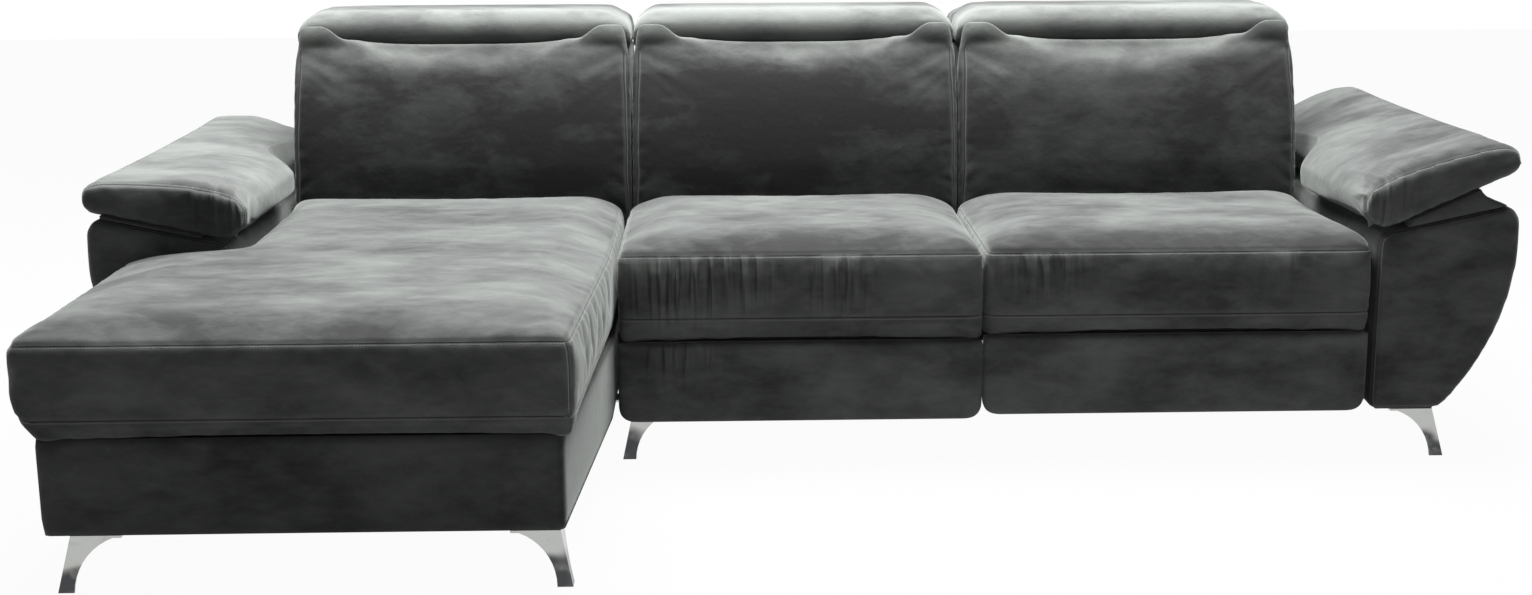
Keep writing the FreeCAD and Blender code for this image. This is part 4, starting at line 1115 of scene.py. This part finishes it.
def pad_section(tilt):
    """Outline of the right arm pad in x and z: inner roll, long back and bulged outer end."""
    radius = ROLL - 0.003
    steps = 14
    angles = [1.5 * pi - pi * step / steps for step in range(steps + 1)]
    return [at_pad(u, v, tilt) for u, v in [(radius * cos(angle), radius * sin(angle)) for angle in angles] + [
        (0.05, 0.0445), (0.10, 0.0405), (0.15, 0.0340), (0.20, 0.0255), (0.243, 0.017), (0.264, 0.008),
        (0.2745, -0.010), (0.2745, -0.030), (0.268, -0.042), (0.250, -0.0460), (0.20, -0.0460), (0.10, -0.0460),
        (0.04, -0.0460)]]


def beside_back(y, v):
    """Least place along an arm pad that clears the back at every tilt, and how much of that holds at y."""
    gap, reach, free = 0.0042, 0.076, -0.080
    lowest, highest = radians(NOTCH), radians(3 * NOTCH)
    limits = (gap / cos(lowest) - reach * tan(lowest), gap / cos(highest),
              gap / cos(highest) + reach * tan(highest))
    share = smooth_step(y, 0.20, SEAT_REAR - 0.004)
    return free + (np.interp(v, (-reach, 0.0, reach), limits) - free) * share, share


def shape_pad(points, tilt, way):
    """Bulges an arm pad over the seat, lets it fall at the rear and presses it in beside the back."""
    slope = radians(tilt)
    u, v = to_pad(points, tilt, way)
    full = smooth_step(points[:, 1], SEAT_FRONT, 0.20) * (1 - smooth_step(points[:, 1], 0.27, SEAT_REAR))
    bulge = 0.026 * full * np.exp(-((v - 0.010) / 0.032) ** 2) * (1 - smooth_step(u, -0.040, 0.040))
    points[:, 0] -= way * bulge * cos(slope)
    points[:, 2] -= bulge * sin(slope)
    u, v = to_pad(points, tilt, way)
    rear = smooth_step(points[:, 1], 0.28, 0.80)
    points[:, 2] -= 0.026 * (rear * (1 - smooth_step(u, 0.05, 0.20)) * smooth_step(v, -0.03, 0.03))
    u, v = to_pad(points, tilt, way)
    limit, share = beside_back(points[:, 1], v)
    pushed = 0.008 * np.log1p(np.exp(np.clip((limit - u) / 0.008, -30, 30))) * share
    points[:, 0] += way * pushed * cos(slope)
    points[:, 2] += pushed * sin(slope)
    return points


def clear_back(tilt, way):
    """Keeps an arm pad out of the back next to it and above its own underside."""
    def clear(points, rest):
        u, v = to_pad(points, tilt, way)
        v = np.maximum(v, -ROLL)
        u = np.maximum(u, beside_back(points[:, 1], v)[0])
        x, points[:, 2] = at_pad(u, v, tilt)
        points[:, 0] = way * x
        return points
    return clear


def make_arm_pad_covers():
    """Covers of the two arm pads."""
    for side, way in ARM_SIDES:
        tilt = PAD_TILTS[side]
        low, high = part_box("%s_arm_pad" % side)
        section = pad_section(tilt)
        name = "%s_arm_pad_cover" % side
        raw = lofted(name, "y", end_rows(SEAT_FRONT + 0.001, REAR - 0.002, 0.010, 5, 40),
                     lambda y: [(x * way, z) for x, z in section], 110)
        obj = remeshed(name, [raw])
        clear = clear_back(tilt, way)
        write_points(obj.data, shape_pad(read_points(obj.data), tilt, way))
        write_points(obj.data, clear(read_points(obj.data), None))
        relax(obj.data, 1)
        seams = []
        for y in (SEAT_FRONT + 0.010, REAR - 0.010):
            edge = [(x * way, y, z) for x, z in section]
            seams.append(edge + edge[:1])
        creases = []
        # Folds from the front edge, by their place along and across the pad, and on top of it
        for u, v, length in ((-0.030, 0.012, 0.10), (-0.018, 0.026, 0.14), (0.004, 0.036, 0.11),
                             (-0.036, -0.006, 0.08), (0.026, 0.040, 0.09), (-0.030, -0.024, 0.07)):
            (x, z), (x2, z2) = at_pad(u, v, tilt), at_pad(u * 0.8 + 0.02, v * 1.05, tilt)
            creases.append(crease((x * way, SEAT_FRONT + 0.004, z), (x2 * way, SEAT_FRONT + length, z2), 0.0035,
                                  0.008))
        for u, y in ((0.06, 0.05), (0.12, 0.22), (0.09, 0.40), (0.15, 0.55)):
            (x, z), (x2, z2) = at_pad(u, 0.040, tilt), at_pad(u + 0.05, 0.034, tilt)
            creases.append(crease((x * way, y, z), (x2 * way, y + 0.07, z2), 0.0018, 0.012))
        x, z = at_pad(-0.030, 0.020, tilt)
        puckers = [((x * way, SEAT_FRONT + 0.02, z), (0.07, 0.10, 0.05), 0.7)]
        soft_cover(obj, seams, *grown(low, high, 0.002), pad_painted_shading(way), fill=0.85, scale=0.9, cap=0.007,
                   grow=0.014, depth=0.0024, creases=creases, after=clear, gather=gathered(puckers))
        finish_piece(obj, "%s_arm_pad" % side, "velour", "%s_arm_pad" % side)


def arm_section(way):
    """Outline of an arm body in x and z: upright inner side, flared outer side, sloped top."""
    slope = tan(radians(NOTCH))
    depth = ROLL + 0.005
    base_x, base_z = at_pad(0, -depth, NOTCH)
    inner_z = base_z - (base_x - ARM_INNER) * slope
    top_x, top_z = at_pad(0.238, -depth, NOTCH)
    outline = [(ARM_INNER + 0.0015, 0.0915), (ARM_INNER + 0.0015, inner_z - 0.012),
               (ARM_INNER + 0.006, inner_z - 0.002), (ARM_INNER + 0.014, inner_z - 0.001 + 0.014 * slope),
               (top_x - 0.006, top_z - 0.0035), (top_x + 0.010, top_z - 0.003), (1.3640, 0.4815),
               (1.3695, 0.470)]
    outline += curve_points((1.3705, 0.460), (1.3450, 0.266), (1.2400, 0.0935), 0.5, 16)
    outline += [(1.233, 0.0915)]
    return [(x * way, z) for x, z in outline]


def make_arm_covers():
    """Covers of the two arm bodies."""
    for side, way in ARM_SIDES:
        low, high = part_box("%s_arm_body" % side)
        name = "%s_arm_cover" % side
        section = arm_section(way)
        obj = remeshed(name, [lofted(name, "y", end_rows(SEAT_FRONT + 0.002, REAR - 0.002, 0.012, 4, 40),
                                     lambda y: section, 130)])
        edge = [(x, SEAT_FRONT + 0.008, z) for x, z in section]
        creases = [crease((1.19 * way, SEAT_FRONT, 0.43), (1.25 * way, SEAT_FRONT, 0.33), 0.0012, 0.016),
                   crease((1.30 * way, SEAT_FRONT, 0.44), (1.31 * way, SEAT_FRONT, 0.30), 0.0010, 0.016)]
        soft_cover(obj, [edge + edge[:1]], *grown(low, high, 0.001), arm_painted_shade(way), fill=0.95, scale=0.35,
                   cap=0.003, grow=0.0, depth=0.0012, creases=creases)
        finish_piece(obj, "base", "velour", "%s_arm_body" % side)


def make_gusset_covers():
    """Folded fabric between each arm and its pad."""
    floor_v, top_v = -ROLL - 0.0046, -ROLL - 0.0004
    inner_u, outer_u = 0.037, 0.230
    for side, way in ARM_SIDES:
        tilt = PAD_TILTS[side]
        notch = round((tilt - NOTCH) / NOTCH)
        foot, crest = at_pad(outer_u, floor_v, NOTCH), at_pad(outer_u - 0.052 * notch, top_v, tilt)
        inner_low, inner_top = at_pad(inner_u, floor_v, NOTCH), at_pad(inner_u, top_v, tilt)
        loops = []
        for y, shrink in end_rows(SEAT_FRONT + 0.0045, REAR - 0.0045, 0.004, 3, 60):
            wave = 0.0012 * sin(38 * y) + 0.0008 * sin(91 * y + 1.0)
            loop = []
            for a, b, steps in ((inner_low, foot, 12), (foot, crest, 8), (crest, inner_top, 12),
                                (inner_top, inner_low, 3)):
                for step in range(steps):
                    t = step / steps
                    x, z = a[0] + (b[0] - a[0]) * t, a[1] + (b[1] - a[1]) * t
                    if a is foot:
                        x += (wave - 0.006 * notch * sin(pi * t)) - 0.0012
                        z -= 0.003 * notch * sin(pi * t)
                    loop.append((x * way, y, z))
            centre = np.mean(loop, axis=0)
            share = 1 - shrink / 0.05
            loops.append([tuple(centre + (np.array(point) - centre) * (share, 1, share)) for point in loop])
        obj = link("%s_arm_gusset_cover" % side, loops_mesh("%s_arm_gusset_cover" % side, loops))
        plain_cloth(obj.data)
        finish_piece(obj, None, "velour_panel", "%s_arm_gusset" % side)
        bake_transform(obj)


def make_footrest_covers():
    """Covers of the two footrest panels."""
    split = (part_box("middle_footrest_pad")[1][0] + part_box("right_footrest_pad")[0][0]) / 2
    face = SEAT_FRONT + 0.0015
    for side in ("middle", "right"):
        low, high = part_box("%s_footrest_pad" % side)
        x0, x1 = {"middle": (low[0] - 0.0030, split - 0.0006),
                  "right": (split + 0.0006, high[0] + 0.0010)}[side]
        z0, z1 = low[2] + 0.001, high[2] - 0.0005
        corners = [(x0, z0), (x1, z0), (x1, z1), (x0, z1)]
        outline = resampled(rounded(corners, (0.034, 0.034, 0.007, 0.007)), 260)
        rows = [(high[1] - 0.0005, 0.004), (high[1] - 0.003, 0.0), (high[1] - 0.010, 0.0), (face + 0.010, 0.0),
                (face + 0.006, 0.0015), (face + 0.003, 0.005), (face + 0.0012, 0.010), (face + 0.0006, 0.018),
                (face + 0.0002, 0.030), (face, 0.045), (face, 0.060)]
        loops = [[(x, y, z) for x, z in shrunk(outline, shrink)] for y, shrink in rows]
        obj = link("%s_footrest_cover" % side, loops_mesh("%s_footrest_cover" % side, loops))
        points = read_points(obj.data)
        wave = np.sin(points[:, 0] * 23 + 1.3) * np.sin(points[:, 0] * 9.1)
        points[:, 1] += 0.0006 * wave * (points[:, 1] < face + 0.004)
        write_points(obj.data, points)
        plain_cloth(obj.data)
        if side == "middle":
            pucker = gathered([((-0.245, face, 0.215), (0.075, 0.05, 0.030), 0.5)])
            write_values(obj.data, "gather", pucker(points))
            write_values(obj.data, "gather_place", points[:, 0])
        # Painted light: the footrest fronts painted a little paler
        write_values(obj.data, "nap", 0.10)
        finish_piece(obj, "%s_footrest" % side, "velour", "%s_footrest_pad" % side)


def with_turns(points, radius):
    """Line through some points with short turns at its corners and close steps between them."""
    fine = []
    for index, point in enumerate(points):
        here = Vector(point)
        turn = [here]
        if 0 < index < len(points) - 1:
            before = (Vector(points[index - 1]) - here).normalized() * radius
            after = (Vector(points[index + 1]) - here).normalized() * radius
            turn = [here + before, here + before * 0.3 + after * 0.3, here + after]
        if fine:
            start = fine[-1]
            steps = max(2, round((turn[0] - start).length / 0.02))
            fine += [start.lerp(turn[0], step / steps) for step in range(1, steps)]
        fine += turn
    return fine


def make_skirt_cover():
    """Velour panels round the chaise base."""
    left, corner, arm = -1.2665, -0.4215, -1.0965
    rear, front, step = 0.7735, -0.8115, -0.1715
    thick, bottom, top = 0.0115, 0.0925, 0.2536
    outside = with_turns([(arm, rear), (BASE_RIGHT, rear), (BASE_RIGHT, SEAT_FRONT), (corner, front),
                          (left, front), (left, step), (arm - 0.002, step)], 0.012)
    inside = with_turns([(arm, rear - thick), (BASE_RIGHT - thick, rear - thick),
                         (BASE_RIGHT - thick, SEAT_FRONT), (corner - thick, front + thick),
                         (left + thick, front + thick), (left + thick, step - thick),
                         (arm - 0.002, step - thick)], 0.003)
    centre = Vector((-0.84, -0.1))
    loops = []
    levels = 12
    for level in range(levels + 1):
        share = level / levels
        z = bottom + (top - bottom) * share
        draw = 0.004 * (1 - smooth_step(share, 0.0, 0.15)) + 0.003 * smooth_step(share, 0.9, 1.0)
        ring = []
        for point in outside:
            away = (centre - point).normalized()
            ring.append((point.x + away.x * draw, point.y + away.y * draw, z))
        loops.append(ring + [(point.x, point.y, z) for point in reversed(inside)])
    obj = link("chaise_skirt_cover", loops_mesh("chaise_skirt_cover", loops))
    plain_cloth(obj.data)
    # Painted shade on the skirt's right side
    write_values(obj.data, "nap", -0.36 * smooth_step(read_normals(obj.data)[:, 0], 0.4, 0.8))
    for polygon in obj.data.polygons:
        polygon.use_smooth = polygon.normal.z ** 2 < 0.5
    finish_piece(obj, "base", "velour_panel", "chaise_skirts")


def make_rear_covers():
    """Lined panels behind the three backs."""
    for side, body in BACK_BODIES:
        low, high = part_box("%s_rear_panel" % side)
        front, bottom, top = low[1] + 0.0003, low[2] + 0.0005, high[2] - 0.0005
        outline = rounded([(front, bottom), (front, top), (high[1], top), (high[1], bottom)],
                          (0.001, 0.001, 0.008, 0.008))
        name = "%s_rear_cover" % side
        obj = link(name, lofted(name, "x", end_rows(low[0] + 0.0005, high[0] - 0.0005, 0.005, 4, 40),
                                lambda x: outline, 120))
        plain_cloth(obj.data)
        finish_piece(obj, body, "velour_panel", "%s_rear_panel" % side)


def finish_fittings():
    """Materials and worn edges of the boards, steel, webbing, legs and glides."""
    slots = {entry["node"]: entry["material_slot"] for entry in frame["record"]["subparts"]}
    for node, obj in frame["nodes"].items():
        slot_name = slots[node]
        if obj.hide_render or slot_name not in bpy.data.materials:
            continue
        material = bpy.data.materials[slot_name]
        if obj.material_slots:
            for entry in obj.material_slots:
                entry.material = material
        else:
            obj.data.materials.append(material)
        if slot_name in ("chrome", "zinc_steel", "frame_wood"):
            soften = obj.modifiers.new("soft edges", "BEVEL")
            soften.width = 0.0008
            soften.segments = 2
            soften.limit_method = "ANGLE"
            soften.angle_limit = radians(35)


# Stage

def aim(obj, place, target):
    """Turns a light at a point."""
    way = (Vector(target) - Vector(place)).normalized()
    obj.matrix_world = Matrix.Translation(place) @ way.to_track_quat("-Z", "Y").to_matrix().to_4x4()


def make_camera():
    """Camera fitted to the reference view."""
    place, lens = (-0.157, -3.857, 1.167), 46.44
    yaw, pitch, roll = 0.0204, 0.2229, -0.0054
    forward = Vector((sin(yaw) * cos(pitch), cos(yaw) * cos(pitch), -sin(pitch)))
    right = Vector((cos(yaw), -sin(yaw), 0.0))
    up = right.cross(forward)
    right, up = (right + roll * up).normalized(), (up - roll * right).normalized()
    data = bpy.data.cameras.new("camera")
    data.sensor_width = 36.0
    data.lens = lens
    camera = bpy.data.objects.new("camera", data)
    bpy.context.scene.collection.objects.link(camera)
    turn = Matrix((right, up, -forward)).transposed().to_4x4()
    camera.matrix_world = Matrix.Translation(place) @ turn
    bpy.context.scene.camera = camera


def looked_at(n):
    """1 for what the camera sees, straight, reflected or through something clear, and 0 for soft light."""
    path = n.add("ShaderNodeLightPath")
    seen = n.math("MAXIMUM", path.outputs["Is Camera Ray"], path.outputs["Is Glossy Ray"])
    return n.math("MAXIMUM", seen, path.outputs["Is Transmission Ray"])


def mixed(n, share, first, second, output):
    """Wires a mix of two shaders to a new output node."""
    blend = n.add("ShaderNodeMixShader")
    n.wire(share, blend.inputs[0])
    n.wire(first.outputs[0], blend.inputs[1])
    n.wire(second.outputs[0], blend.inputs[2])
    n.wire(blend.outputs[0], n.add(output).inputs["Surface"])


def make_floor():
    """Floor that looks white and takes soft shadows."""
    mesh = bpy.data.meshes.new("floor")
    grid = bmesh.new()
    just_below = Matrix.Translation((0, 0, -0.0005))
    bmesh.ops.create_grid(grid, x_segments=1, y_segments=1, size=9.0, matrix=just_below)
    grid.to_mesh(mesh)
    grid.free()
    link("floor", mesh)
    material = bpy.data.materials.new("floor")
    n = emptied(material)
    shader = n.add("ShaderNodeBsdfDiffuse")
    shader.inputs["Color"].default_value = (0.28, 0.28, 0.28, 1)
    glow = n.add("ShaderNodeEmission")
    glow.inputs["Strength"].default_value = 1.0
    mixed(n, n.math("MULTIPLY", looked_at(n), 0.96), shader, glow, "ShaderNodeOutputMaterial")
    mesh.materials.append(material)


def make_world(strength):
    """Background that looks white and gives a weak soft light."""
    world = bpy.data.worlds.new("studio")
    bpy.context.scene.world = world
    n = emptied(world)
    soft, white = n.add("ShaderNodeBackground"), n.add("ShaderNodeBackground")
    soft.inputs["Strength"].default_value = strength
    soft.inputs["Color"].default_value = (0.96, 0.98, 1.0, 1)
    white.inputs["Strength"].default_value = 1.0
    white.inputs["Color"].default_value = (1, 1, 1, 1)
    mixed(n, looked_at(n), soft, white, "ShaderNodeOutputWorld")


def make_stage():
    """Pale floor, soft lamps and a white background."""
    look = bpy.context.scene.sofa_stage
    make_floor()
    make_world(look.world)
    for name, power, size, place, target in (
            ("top light", look.top, (4.2, 2.2), (0.0, 0.7, 3.4), (0.0, -0.1, 0.4)),
            ("front light", look.front, (3.6, 1.6), (-0.6, -3.6, 2.3), (0.0, 0.0, 0.4))):
        data = bpy.data.lights.new(name, "AREA")
        data.shape = "RECTANGLE"
        data.size, data.size_y = size
        data.energy = power
        lamp = bpy.data.objects.new(name, data)
        bpy.context.scene.collection.objects.link(lamp)
        aim(lamp, place, target)
    bpy.context.scene.view_settings.view_transform = "Standard"


# Operators and panel

class SOFA_OT_camera(bpy.types.Operator):
    """Places the camera at the reference view"""
    bl_idname = "sofa.camera"
    bl_label = "Camera"

    def execute(self, context):
        make_camera()
        return {"FINISHED"}


class SOFA_OT_materials(bpy.types.Operator):
    """Makes the velour, wood, metal, plastic and webbing"""
    bl_idname = "sofa.materials"
    bl_label = "Materials"

    def execute(self, context):
        make_materials()
        return {"FINISHED"}


class SOFA_OT_chaise(bpy.types.Operator):
    """Makes the cover of the chaise cushion"""
    bl_idname = "sofa.chaise"
    bl_label = "Chaise cover"

    def execute(self, context):
        make_chaise_cover()
        return {"FINISHED"}


class SOFA_OT_seats(bpy.types.Operator):
    """Makes the covers of the relax seats"""
    bl_idname = "sofa.seats"
    bl_label = "Seat covers"

    def execute(self, context):
        make_seat_covers()
        return {"FINISHED"}


class SOFA_OT_backs(bpy.types.Operator):
    """Makes the covers of the backs"""
    bl_idname = "sofa.backs"
    bl_label = "Back covers"

    def execute(self, context):
        make_back_covers()
        return {"FINISHED"}


class SOFA_OT_headrests(bpy.types.Operator):
    """Makes the covers of the headrests"""
    bl_idname = "sofa.headrests"
    bl_label = "Headrest covers"

    def execute(self, context):
        make_headrest_covers()
        return {"FINISHED"}


class SOFA_OT_arms(bpy.types.Operator):
    """Makes the covers of the arm bodies"""
    bl_idname = "sofa.arms"
    bl_label = "Arm covers"

    def execute(self, context):
        make_arm_covers()
        return {"FINISHED"}


class SOFA_OT_arm_pads(bpy.types.Operator):
    """Makes the covers of the arm pads"""
    bl_idname = "sofa.arm_pads"
    bl_label = "Arm pad covers"

    def execute(self, context):
        make_arm_pad_covers()
        return {"FINISHED"}


class SOFA_OT_gussets(bpy.types.Operator):
    """Makes the folded fabric under the arm pads"""
    bl_idname = "sofa.gussets"
    bl_label = "Arm gussets"

    def execute(self, context):
        make_gusset_covers()
        return {"FINISHED"}


class SOFA_OT_footrests(bpy.types.Operator):
    """Makes the covers of the footrests"""
    bl_idname = "sofa.footrests"
    bl_label = "Footrest covers"

    def execute(self, context):
        make_footrest_covers()
        return {"FINISHED"}


class SOFA_OT_skirts(bpy.types.Operator):
    """Makes the panels round the chaise base"""
    bl_idname = "sofa.skirts"
    bl_label = "Chaise skirt"

    def execute(self, context):
        make_skirt_cover()
        return {"FINISHED"}


class SOFA_OT_rears(bpy.types.Operator):
    """Makes the lined panels behind the backs"""
    bl_idname = "sofa.rears"
    bl_label = "Rear panels"

    def execute(self, context):
        make_rear_covers()
        return {"FINISHED"}


class SOFA_OT_fittings(bpy.types.Operator):
    """Gives the boards, steel, webbing and legs their finish"""
    bl_idname = "sofa.fittings"
    bl_label = "Fittings"

    def execute(self, context):
        finish_fittings()
        return {"FINISHED"}


class SOFA_OT_stage(bpy.types.Operator):
    """Makes the floor, the lamps and the background"""
    bl_idname = "sofa.stage"
    bl_label = "Stage"

    def execute(self, context):
        make_stage()
        return {"FINISHED"}


OPERATORS = (SOFA_OT_camera, SOFA_OT_materials, SOFA_OT_chaise, SOFA_OT_seats, SOFA_OT_backs,
             SOFA_OT_headrests, SOFA_OT_arms, SOFA_OT_arm_pads, SOFA_OT_gussets, SOFA_OT_footrests,
             SOFA_OT_skirts, SOFA_OT_rears, SOFA_OT_fittings, SOFA_OT_stage)


class SOFA_PT_panel(bpy.types.Panel):
    """Settings and steps of the sofa."""
    bl_idname = "SOFA_PT_panel"
    bl_label = "Corner sofa"
    bl_space_type = "VIEW_3D"
    bl_region_type = "UI"
    bl_category = "Sofa"

    def draw(self, context):
        for name, group in GROUPS:
            for item in group.__annotations__:
                self.layout.prop(getattr(context.scene, name), item)
        for item in OPERATORS:
            self.layout.operator(item.bl_idname)


GROUPS = (("sofa_cloth", SofaCloth), ("sofa_velour", SofaVelour), ("sofa_fittings", SofaFittings),
          ("sofa_stage", SofaStage))


def register():
    for _, group in GROUPS:
        bpy.utils.register_class(group)
    for name, group in GROUPS:
        setattr(bpy.types.Scene, name, bpy.props.PointerProperty(type=group))
    for item in (*OPERATORS, SOFA_PT_panel):
        bpy.utils.register_class(item)


def unregister():
    for item in reversed((*OPERATORS, SOFA_PT_panel)):
        bpy.utils.unregister_class(item)
    for name, group in reversed(GROUPS):
        delattr(bpy.types.Scene, name)
        bpy.utils.unregister_class(group)


def main():
    """Registers the add-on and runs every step."""
    register()
    for item in OPERATORS:
        getattr(bpy.ops.sofa, item.bl_idname.split(".")[1])()


if __name__ == "__main__":
    main()
